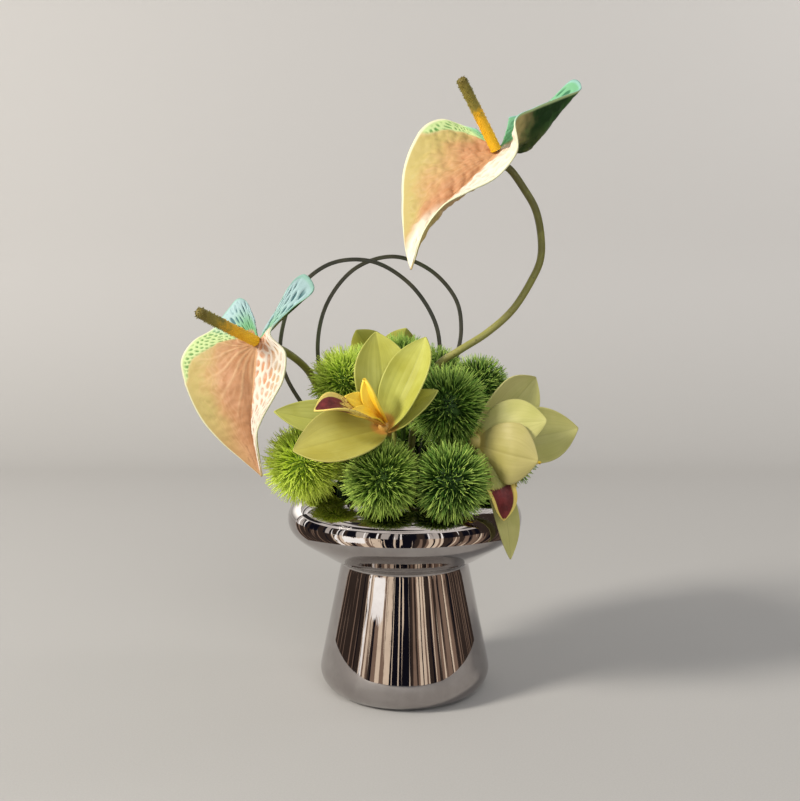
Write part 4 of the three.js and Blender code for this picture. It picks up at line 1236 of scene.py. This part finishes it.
bump(tree, shader, grain(tree, 130, detail=4.0), 0.35, 0.4)
print("back nodes:", len(tree.nodes))

# %% Lay out the two spathes
SPATHE_GRID = 140, 336

for side, net in (("left", LEFT_SPATHE), ("right", RIGHT_SPATHE)):
    mesh, u, v = sheet(side + "_spathe", *SPATHE_GRID, spathe_surface(net))
    # The first material, the face, has to lie on the side of the spadix.
    mesh.flip_normals()
    start = (len(net["outer"]) - len(net["midrib"]) - 1) / len(net["outer"])
    height, paints = spathe_marks(side, start, u, v)
    normals = np.zeros(len(u) * 3, np.float32)
    mesh.vertices.foreach_get("normal", normals)
    places = mesh_points(mesh) / MM
    height += PAINT[side]["crumple"] * crumple(places) * paints["loose"]
    move_points(mesh, places + normals.reshape(-1, 3) * height[:, None])
    for name, values in paints.items():
        mark(mesh, name, values)
    piece = stand(mesh, f"anthurium_{side}_spathe", "spathe", spathe_face, spathe_back)
    solid = piece.modifiers.new("thickness", "SOLIDIFY")
    solid.thickness = SPATHE_THICKNESS * MM
    solid.offset = 0
    solid.material_offset = 1
print("spathes: 2")

# %% [markdown]
# ## Green heads
# Each head is a ball of soft moulded needles on a short stalk, pushed into the foam. Hair particles
# would be quick to comb, but they leave no mesh behind. So 1,750 tapered needles stand out of a small
# dark middle, spread by the golden angle, then shaken and bent a little by chance. A needle stops
# before it meets a petal, a stem or the plane half way to the next head. Each is dark at its root and
# light at its tip, partly its own colour and partly painted shade deep in the ball, and the heads at
# the left are painted lighter and yellower, as painted light from the lamp on that side.

# %% Needle green
needle_skin, tree, shader = new_material("needle_skin", 0.5, Specular_IOR_Level=0.25)
shade, young = attribute(tree, "shade"), attribute(tree, "young")
# Dark at the root and light at the tip: partly the needles' own colour, partly painted shade deep in the
# ball.
deep = blend(tree, shade, colour(26, 54, 18), colour(60, 100, 30))
fresh = blend(tree, shade, colour(84, 136, 42), colour(196, 220, 104))
# Painted light from the left: those heads are made lighter and yellower, and their light reaches further
# down each needle.
deep = blend(tree, times(tree, young, 0.75), deep, colour(128, 174, 44))
fresh = blend(tree, young, fresh, colour(232, 250, 100))
lit = calc(tree, "MULTIPLY_ADD", young, 0.45, attribute(tree, "reach"))
skin = blend(tree, ramp(tree, lit, 0.2, 0.95), deep, fresh)
paint(tree, shader, blend(tree, grain(tree, 18, 0.4, 0.7, 0.35), skin, colour(140, 180, 56)))
print("needle nodes:", len(tree.nodes))


# %% What the needles keep clear of
NEEDLE_ROOM = 1.2


def search_tree(names):
    """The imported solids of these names, ready to be met by a ray."""
    points, faces = [], []
    for name in names:
        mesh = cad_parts[name].data
        start = len(points)
        points += [v.co.copy() for v in mesh.vertices]
        faces += [[start + i for i in p.vertices] for p in mesh.polygons]
    return BVHTree.FromPolygons(points, faces)


others = [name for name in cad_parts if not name.startswith("green_head")]
fixed = search_tree(others)
print("pieces that the needles keep clear of:", len(others))


def needle_reach(direction, head, length):
    """How far a needle may stand out from the head's middle."""
    _, centre, radius = head
    centre = Vector(centre)
    for other in HEADS:
        if other is not head:
            _, its_centre, its_radius = other
            apart = Vector(its_centre) - centre
            lean = direction.dot(apart) / apart.length
            border = (apart.length**2 + radius**2 - its_radius**2) / (2 * apart.length) - CLEARANCE
            if lean > 0:
                length = min(length, border / lean)
    hit = fixed.ray_cast(centre * MM, direction, length * MM)
    return length if hit[0] is None else min(length, hit[3] / MM - NEEDLE_ROOM)


# %% One needle
NEEDLES = 1750
NEEDLE_WIDTH, NEEDLE_BEND = 1.25, 3.2
NEEDLE_SIDES, NEEDLE_FOOT, NEEDLE_TOP, NEEDLE_CUTS = 3, 0.5, 0.14, 2
CORE_SHARE, ROOT_SHARE = 0.55, 0.45
SHORTEST, LONGEST, SHAKEN = 0.8, 1.06, 0.06


def one_needle():
    """A thin cone, one unit long and one across, standing on the origin."""
    bm = cut_cone(NEEDLE_SIDES, NEEDLE_FOOT, NEEDLE_TOP, NEEDLE_CUTS, closed=False)
    bmesh.ops.contextual_create(bm, geom=[v for v in bm.verts if v.co.z > 0.99])
    return mesh_from(bm, "needle")


needle = one_needle()
print("faces of a needle:", len(needle.polygons))


# %% Plant the needles
# Where the painted light from the left begins on the heads, going from right to left, and where it is full.
LEFT_LIGHT_SPAN = 5, -70
STALK_RINGS = 12, 20
STALK_REACH, CORE_LIGHT = 0.3, 0.5
NEEDLE_SEED = 20260


def head_stalk(centre):
    """From the middle of the head down into the foam."""
    x, y, _ = centre
    share = ENTRY_OUTER if math.hypot(x, y) > OUTER_HEAD else ENTRY_INNER
    entry = Vector((x * share, y * share, FOAM_EDGE + CLEARANCE))
    down = (entry - Vector(centre)).normalized()
    return [centre, tuple(entry), tuple(entry + down * STEM_DEPTH)]


def planted(head, rng):
    """For each needle its way out, its tip, its shade and the two ways that it bends."""
    rows, radius = [], head[2]
    for i in range(NEEDLES):
        z = 1 - (2 * i + 1) / NEEDLES
        turn = i * GOLDEN_ANGLE
        flat = math.sqrt(1 - z * z)
        direction = Vector((flat * math.cos(turn), flat * math.sin(turn), z))
        direction += Vector([rng.gauss(0, SHAKEN) for _ in range(3)])
        direction.normalize()
        tip = needle_reach(direction, head, radius * rng.uniform(SHORTEST, LONGEST))
        look = (tip, rng.random(), rng.uniform(-1, 1), rng.uniform(-1, 1))
        if tip > radius * CORE_SHARE + 1:
            rows.append((*direction, *look))
    return np.array(rows)


def needles_of(head, rng):
    """All needles of a head as one mesh, with how far out and how light each point is."""
    name, centre, radius = head
    rows = planted(head, rng)
    bm = bmesh.new()
    for _ in rows:
        bm.from_mesh(needle)
    mesh = mesh_from(bm, name)
    way, tip, shade, bends = rows[:, :3], rows[:, 3:4], rows[:, 4], rows[:, 5:]
    side = unit(np.cross(way, (0.3, 0.5, 0.81)))
    across = np.cross(way, side)
    x, y, z = mesh_points(needle).T[:, None, :]
    root = radius * ROOT_SHARE
    out = root + z * (tip - root)
    aside = NEEDLE_WIDTH * x + NEEDLE_BEND * bends[:, :1] * z**2
    ahead = NEEDLE_WIDTH * y + NEEDLE_BEND * bends[:, 1:] * z**2
    places = (out[..., None] * way[:, None] + aside[..., None] * side[:, None]
              + ahead[..., None] * across[:, None]).reshape(-1, 3)
    move_points(mesh, places + np.array(centre))
    reach = (out / radius).ravel()
    return mesh, (reach - CORE_SHARE) / (1 - CORE_SHARE), np.repeat(shade, z.shape[1])


def core_of(head):
    """The dark ball that the needles stand in, cut back to the room that there is."""
    _, centre, radius = head
    bm = bmesh.new()
    bmesh.ops.create_icosphere(bm, subdivisions=BALL_DETAIL, radius=1)
    mesh = mesh_from(bm, "core")
    ways = mesh_points(mesh)
    rises = np.array([needle_reach(Vector(way), head, radius * CORE_SHARE) for way in ways])
    move_points(mesh, ways * rises[:, None] + np.array(centre))
    return mesh


def stalk_radius(share):
    return np.full(len(share), HEAD_STALK_RADIUS)


rng = random.Random(NEEDLE_SEED)
for head in HEADS:
    name, centre, _ = head
    ball, reach, shade = needles_of(head, rng)
    core = core_of(head)
    stalk = rod(name, head_stalk(centre), round_section(stalk_radius), *STALK_RINGS)
    # How much painted light from the left this head gets, by where it stands.
    parts, left_light_share = (ball, core, stalk), soft_step(centre[0], *LEFT_LIGHT_SPAN)
    on_core, on_stalk = np.ones(len(core.vertices)), np.ones(len(stalk.vertices))
    whole = joined(name + "_needles", parts,
                   reach=[reach, 0 * on_core, STALK_REACH * on_stalk],
                   young=[np.full(len(part.vertices), left_light_share) for part in parts],
                   shade=[shade, CORE_LIGHT * on_core, 0 * on_stalk])
    stand(whole, name, "needle_green", needle_skin)
print("heads:", len(HEADS))

# %% [markdown]
# ## Floral foam
# The foam is a fine green sponge that crumbles where it was cut. Its block could be modelled again
# with chipped edges, but the heads hide it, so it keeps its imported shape, holes included, and gets
# only a rough material of its own.

# %% Foam
foam_skin, tree, shader = new_material("foam_skin", 0.95, Specular_IOR_Level=0.1)
paint(tree, shader, blend(tree, grain(tree, 420, detail=5.0), colour(30, 50, 26), colour(74, 96, 58)))
bump(tree, shader, grain(tree, 420, 0.2, 0.8, detail=5.0), 0.8, 0.8)
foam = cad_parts["floral_foam"]
foam.data.materials.clear()
foam.data.materials.append(foam_skin)
print("foam material:", foam_skin.name)

# %% [markdown]
# ## The stage
# The arrangement stands on pale paper that bends up behind it without a corner, as in a studio. A
# plane and a wall would do, but the bowl would mirror the line where they meet.

# %% Sweep
# Length and half width of the paper, how much of it lies in front, and where its bend begins.
SWEEP_LENGTH, SWEEP_FRONT, SWEEP_HALF_WIDTH, SWEEP_STEPS = 11000, 7500, 7000, 220
TURN, CORNER = 1100, 500


def stage_piece(name, mesh, material):
    """A piece of the scenery, which isn't part of the model."""
    piece = bpy.data.objects.new(name, mesh)
    bpy.context.scene.collection.objects.link(piece)
    mesh.materials.append(material)
    return piece


sweep_mesh = grid_mesh("sweep", 2, SWEEP_STEPS)
local = mesh_points(sweep_mesh)
distance = (local[:, 1] + 1) / 2 * SWEEP_LENGTH - SWEEP_FRONT
bend = CORNER * math.pi / 2
arc = np.clip((distance - TURN) / bend, 0, 1) * math.pi / 2
back = np.where(distance < TURN, distance, TURN + CORNER * np.sin(arc))
above = CORNER * (1 - np.cos(arc)) + np.maximum(distance - TURN - bend, 0)
up = np.where(distance < TURN, 0, above)
move_points(sweep_mesh, np.stack([local[:, 0] * SWEEP_HALF_WIDTH, back, up], axis=1))
sweep_mesh.shade_smooth()
paper, tree, shader = new_material("paper", 0.9, Specular_IOR_Level=0.1)
level = node(tree, "SeparateXYZ", node(tree, "TexCoord").outputs["Object"]).outputs[2]
# Painted light: the paper is made lighter up the wall than on the floor.
paper_with_lit_wall = blend(tree, ramp(tree, level, 0.0, 0.5), colour(180, 178, 175), colour(195, 193, 191))
paint(tree, shader, blend(tree, grain(tree, 900, amount=0.3), paper_with_lit_wall, colour(192, 190, 187)))
stage_piece("sweep", sweep_mesh, paper)
print("sweep:", SWEEP_LENGTH, "mm long")

# %% [markdown]
# ## What the mirror shows
# A mirror has hardly any colour of its own, and on bare paper the bowl would look white. So a ring
# of plain tall strips glows round it, dark, brown, cream and white, and a streaked board hangs above.
# Only the mirror sees them: they give no light or shadow, and the camera looks through them.

# %% The ring that the mirror shows
# Radius and height of the ring, how far round it goes, and how finely it is cut.
ROOM_RADIUS, ROOM_LOW, ROOM_HIGH = 190, 22, 600
ROOM_TURN, ROOM_STEPS = math.radians(105), 180
ROOM_GLOW = 2.0
# The height in metres where the strips end, and how soon the rows above them lie flat.
HORIZON, RISE_REACH = 0.125, 0.075


def only_mirrored(piece):
    """Hides a piece from everything but reflections."""
    for sight in ("visible_camera", "visible_diffuse", "visible_shadow", "visible_transmission"):
        setattr(piece, sight, False)


def glowing(name, strength):
    """A material that only glows, with its place in x, y and z."""
    material, tree, _ = new_material(name, 1.0)
    glow = node(tree, "Emission", named={"Strength": strength})
    tree.links.new(glow.outputs[0], tree.nodes["Material Output"].inputs["Surface"])
    place = node(tree, "SeparateXYZ", node(tree, "TexCoord").outputs["Object"]).outputs
    return material, tree, glow, place


bm = bmesh.new()
bmesh.ops.create_cone(bm, cap_ends=False, segments=ROOM_STEPS, radius1=1, radius2=1, depth=1)
for vert in [v for v in bm.verts if abs(math.atan2(v.co.x, -v.co.y)) > ROOM_TURN]:
    bm.verts.remove(vert)
ring_mesh = mesh_from(bm, "room")
local = mesh_points(ring_mesh)
height = ROOM_LOW + (local[:, 2] + 0.5) * (ROOM_HIGH - ROOM_LOW)
move_points(ring_mesh, np.stack([local[:, 0] * ROOM_RADIUS, local[:, 1] * ROOM_RADIUS, height], axis=1))

room, tree, glow, (x, y, z) = glowing("room_strips", ROOM_GLOW)
turn = calc(tree, "ARCTAN2", x, calc(tree, "MULTIPLY", y, -1.0))


def strips(across, up, detail):
    """The strips round the ring; across and up say how many there are."""
    return stretched(tree, times(tree, turn, across), times(tree, z, up), detail)


def between(start, end, low=0.0, high=1.0):
    """1 between two directions, with a ragged edge, from one height to another."""
    ragged = calc(tree, "MULTIPLY_ADD", strips(50.0, 30.0, 3.0), 0.16, -0.08)
    place = calc(tree, "ADD", turn, ragged)
    level = calc(tree, "ADD", z, times(tree, ragged, 0.2))
    return times(tree, ramp(tree, place, start, start + 0.01), ramp(tree, place, end, end - 0.01),
                 ramp(tree, level, low, low + 0.003), ramp(tree, level, high, high - 0.003))


broad, line = strips(4.4, 1.0, 2.0), strips(18.0, 3.0, 1.0)
DARK, WOOD, CREAM, NIGHT, WHITE = (colour(52, 43, 38), colour(122, 102, 88), colour(212, 194, 172),
                                   colour(16, 16, 24), colour(250, 248, 244))
# Below the horizon: broad strips, darker at both sides, with narrow lines and two white boards.
side_wall = calc(tree, "ADD", between(-2.0, -0.98), between(1.15, 2.0))
open_room = calc(tree, "SUBTRACT", 1.0, side_wall)
tone = layered(tree, blend(tree, ramp(tree, broad, 0.47, 0.49), DARK, WOOD),
               (ramp(tree, broad, 0.56, 0.57), CREAM),
               (between(-0.3, 0.12), NIGHT),
               (between(-0.42, -0.3), CREAM),
               (side_wall, DARK),
               (times(tree, ramp(tree, line, 0.6, 0.62), open_room), CREAM),
               (times(tree, ramp(tree, line, 0.58, 0.6), side_wall), WOOD),
               (ramp(tree, line, 0.38, 0.36), NIGHT),
               (between(-0.95, -0.9), WHITE),
               (between(-0.82, -0.5, 0.072, HORIZON), WHITE))
# Above it: dark blocks, and higher up pale rows that lie flat.
rise = calc(tree, "ARCTAN2", calc(tree, "SUBTRACT", z, HORIZON), RISE_REACH)
blocks, rows = strips(8.0, 0.5, 0.0), stretched(tree, times(tree, turn, 0.8), times(tree, rise, 9.0), 1.0)
pale_rows = blend(tree, ramp(tree, rows, 0.5, 0.46), colour(196, 191, 186), colour(40, 38, 38))
upper = layered(tree, blend(tree, ramp(tree, blocks, 0.5, 0.6), NIGHT, DARK),
                (ramp(tree, broad, 0.55, 0.56), colour(178, 172, 166)),
                (ramp(tree, line, 0.62, 0.64), WHITE),
                (ramp(tree, rise, 0.62, 0.64), pale_rows),
                (between(1.0, 2.0), DARK))
tone = blend(tree, ramp(tree, z, HORIZON, HORIZON + 0.004), tone, upper)
tree.links.new(tone, glow.inputs["Color"])
only_mirrored(stage_piece("room", ring_mesh, room))
print("ring nodes:", len(tree.nodes))

# %% The board that the top of the bowl shows
# Half its width in metres, and how far back its middle lies in millimetres.
CEILING_SIZE, CEILING_BACK, CEILING_GLOW = 1.6, 600, 1.6
STREAK_REACH = 0.48

ceiling_mesh = grid_mesh("ceiling", 1, 1, CEILING_SIZE)
move_points(ceiling_mesh, mesh_points(ceiling_mesh) / MM + (0, CEILING_BACK, ROOM_HIGH))
ceiling, tree, glow, (x, y, z) = glowing("ceiling_streaks", CEILING_GLOW)
lean = calc(tree, "ARCTAN2", y, STREAK_REACH)
streak = stretched(tree, times(tree, x, 0.7), times(tree, lean, 24.0), 1.0)
tone = blend(tree, ramp(tree, streak, 0.54, 0.6), colour(176, 172, 168), WHITE)
tone = blend(tree, ramp(tree, streak, 0.4, 0.36), tone, colour(52, 50, 50))
tree.links.new(tone, glow.inputs["Color"])
only_mirrored(stage_piece("ceiling", ceiling_mesh, ceiling))
print("board nodes:", len(tree.nodes))

# %% A bright card
BOWL_MIDDLE = 0, 0, 0.13


def card(name, place, size, strength):
    """A bright board that only the mirror sees, turned to the bowl."""
    mesh = grid_mesh(name, 1, 1, 0.5)
    turned = (Vector(BOWL_MIDDLE) - Vector(place)).to_track_quat("-Z", "Y").to_matrix()
    for vert in mesh.vertices:
        vert.co = turned @ Vector((vert.co.x * size[0], vert.co.y * size[1], 0)) + Vector(place)
    material, tree, glow, place = glowing(name + "_glow", strength)
    soft = times(tree, *(ramp(tree, from_middle(tree, way), 0.5, 0.1) for way in uv_of(tree)))
    tree.links.new(blend(tree, soft, colour(120, 117, 112), colour(255, 252, 244)), glow.inputs["Color"])
    only_mirrored(stage_piece(name, mesh, material))


card("shoulder_card", place=(-1.0, 0.92, 0.56), size=(1.4, 0.9), strength=2.6)
print("cards: 1")

# %% [markdown]
# ## Light and camera
# The main light comes from the left, from above and a little from the front. A sun would be simpler,
# but its shadows are hard, so each lamp is a rectangle. A weak one warms the paper behind, a cool one
# in front keeps the shadows open, and a pale sky fills in the rest. The camera stands where its fit
# to the outline of the turned bowl put it.

# %% Light
SKY, SKY_STRENGTH = colour(222, 223, 226), 0.45
FLOWERS = 0, 0, 0.28

world = bpy.data.worlds.new("studio")
bpy.context.scene.world = world
world.use_nodes = True
sky = world.node_tree.nodes["Background"]
sky.inputs["Color"].default_value = SKY
sky.inputs["Strength"].default_value = SKY_STRENGTH


def lamp(name, place, target, size, power, tint):
    """A soft rectangle of light; places and sizes are in metres, and its power is in watts."""
    data = bpy.data.lights.new(name, "AREA")
    data.shape = "RECTANGLE"
    data.size, data.size_y = size
    data.energy = power
    data.color = tint
    made = bpy.data.objects.new(name, data)
    made.location = place
    made.rotation_euler = (Vector(target) - Vector(place)).to_track_quat("-Z", "Y").to_euler()
    bpy.context.scene.collection.objects.link(made)


lamp("window", (-2.6, -1.3, 1.8), FLOWERS, (0.7, 0.8), 122, (1.0, 0.95, 0.87))
lamp("wall", (1.7, 0.35, 1.5), (1.3, 1.7, 0.8), (0.8, 0.8), 11, (1.0, 0.97, 0.93))
lamp("front", (0.6, -2.2, 1.5), FLOWERS, (1.6, 1.2), 20, (0.97, 0.98, 1.0))
print("lamps:", len(bpy.data.lights))

# %% Camera
LENS, SENSOR = 40.5, 36
CAMERA_PLACE, LOOKS_DOWN = (-0.0036, -0.680, 0.2675), 0.072

scene = bpy.context.scene
camera_data = bpy.data.cameras.new("camera")
camera_data.lens = LENS
camera_data.sensor_width = SENSOR
camera = bpy.data.objects.new("camera", camera_data)
camera.location = CAMERA_PLACE
camera.rotation_euler = (math.pi / 2 - LOOKS_DOWN, 0, 0)
scene.collection.objects.link(camera)
scene.camera = camera
scene.view_settings.view_transform = "Standard"
scene.view_settings.look = "None"
print("camera:", CAMERA_PLACE)
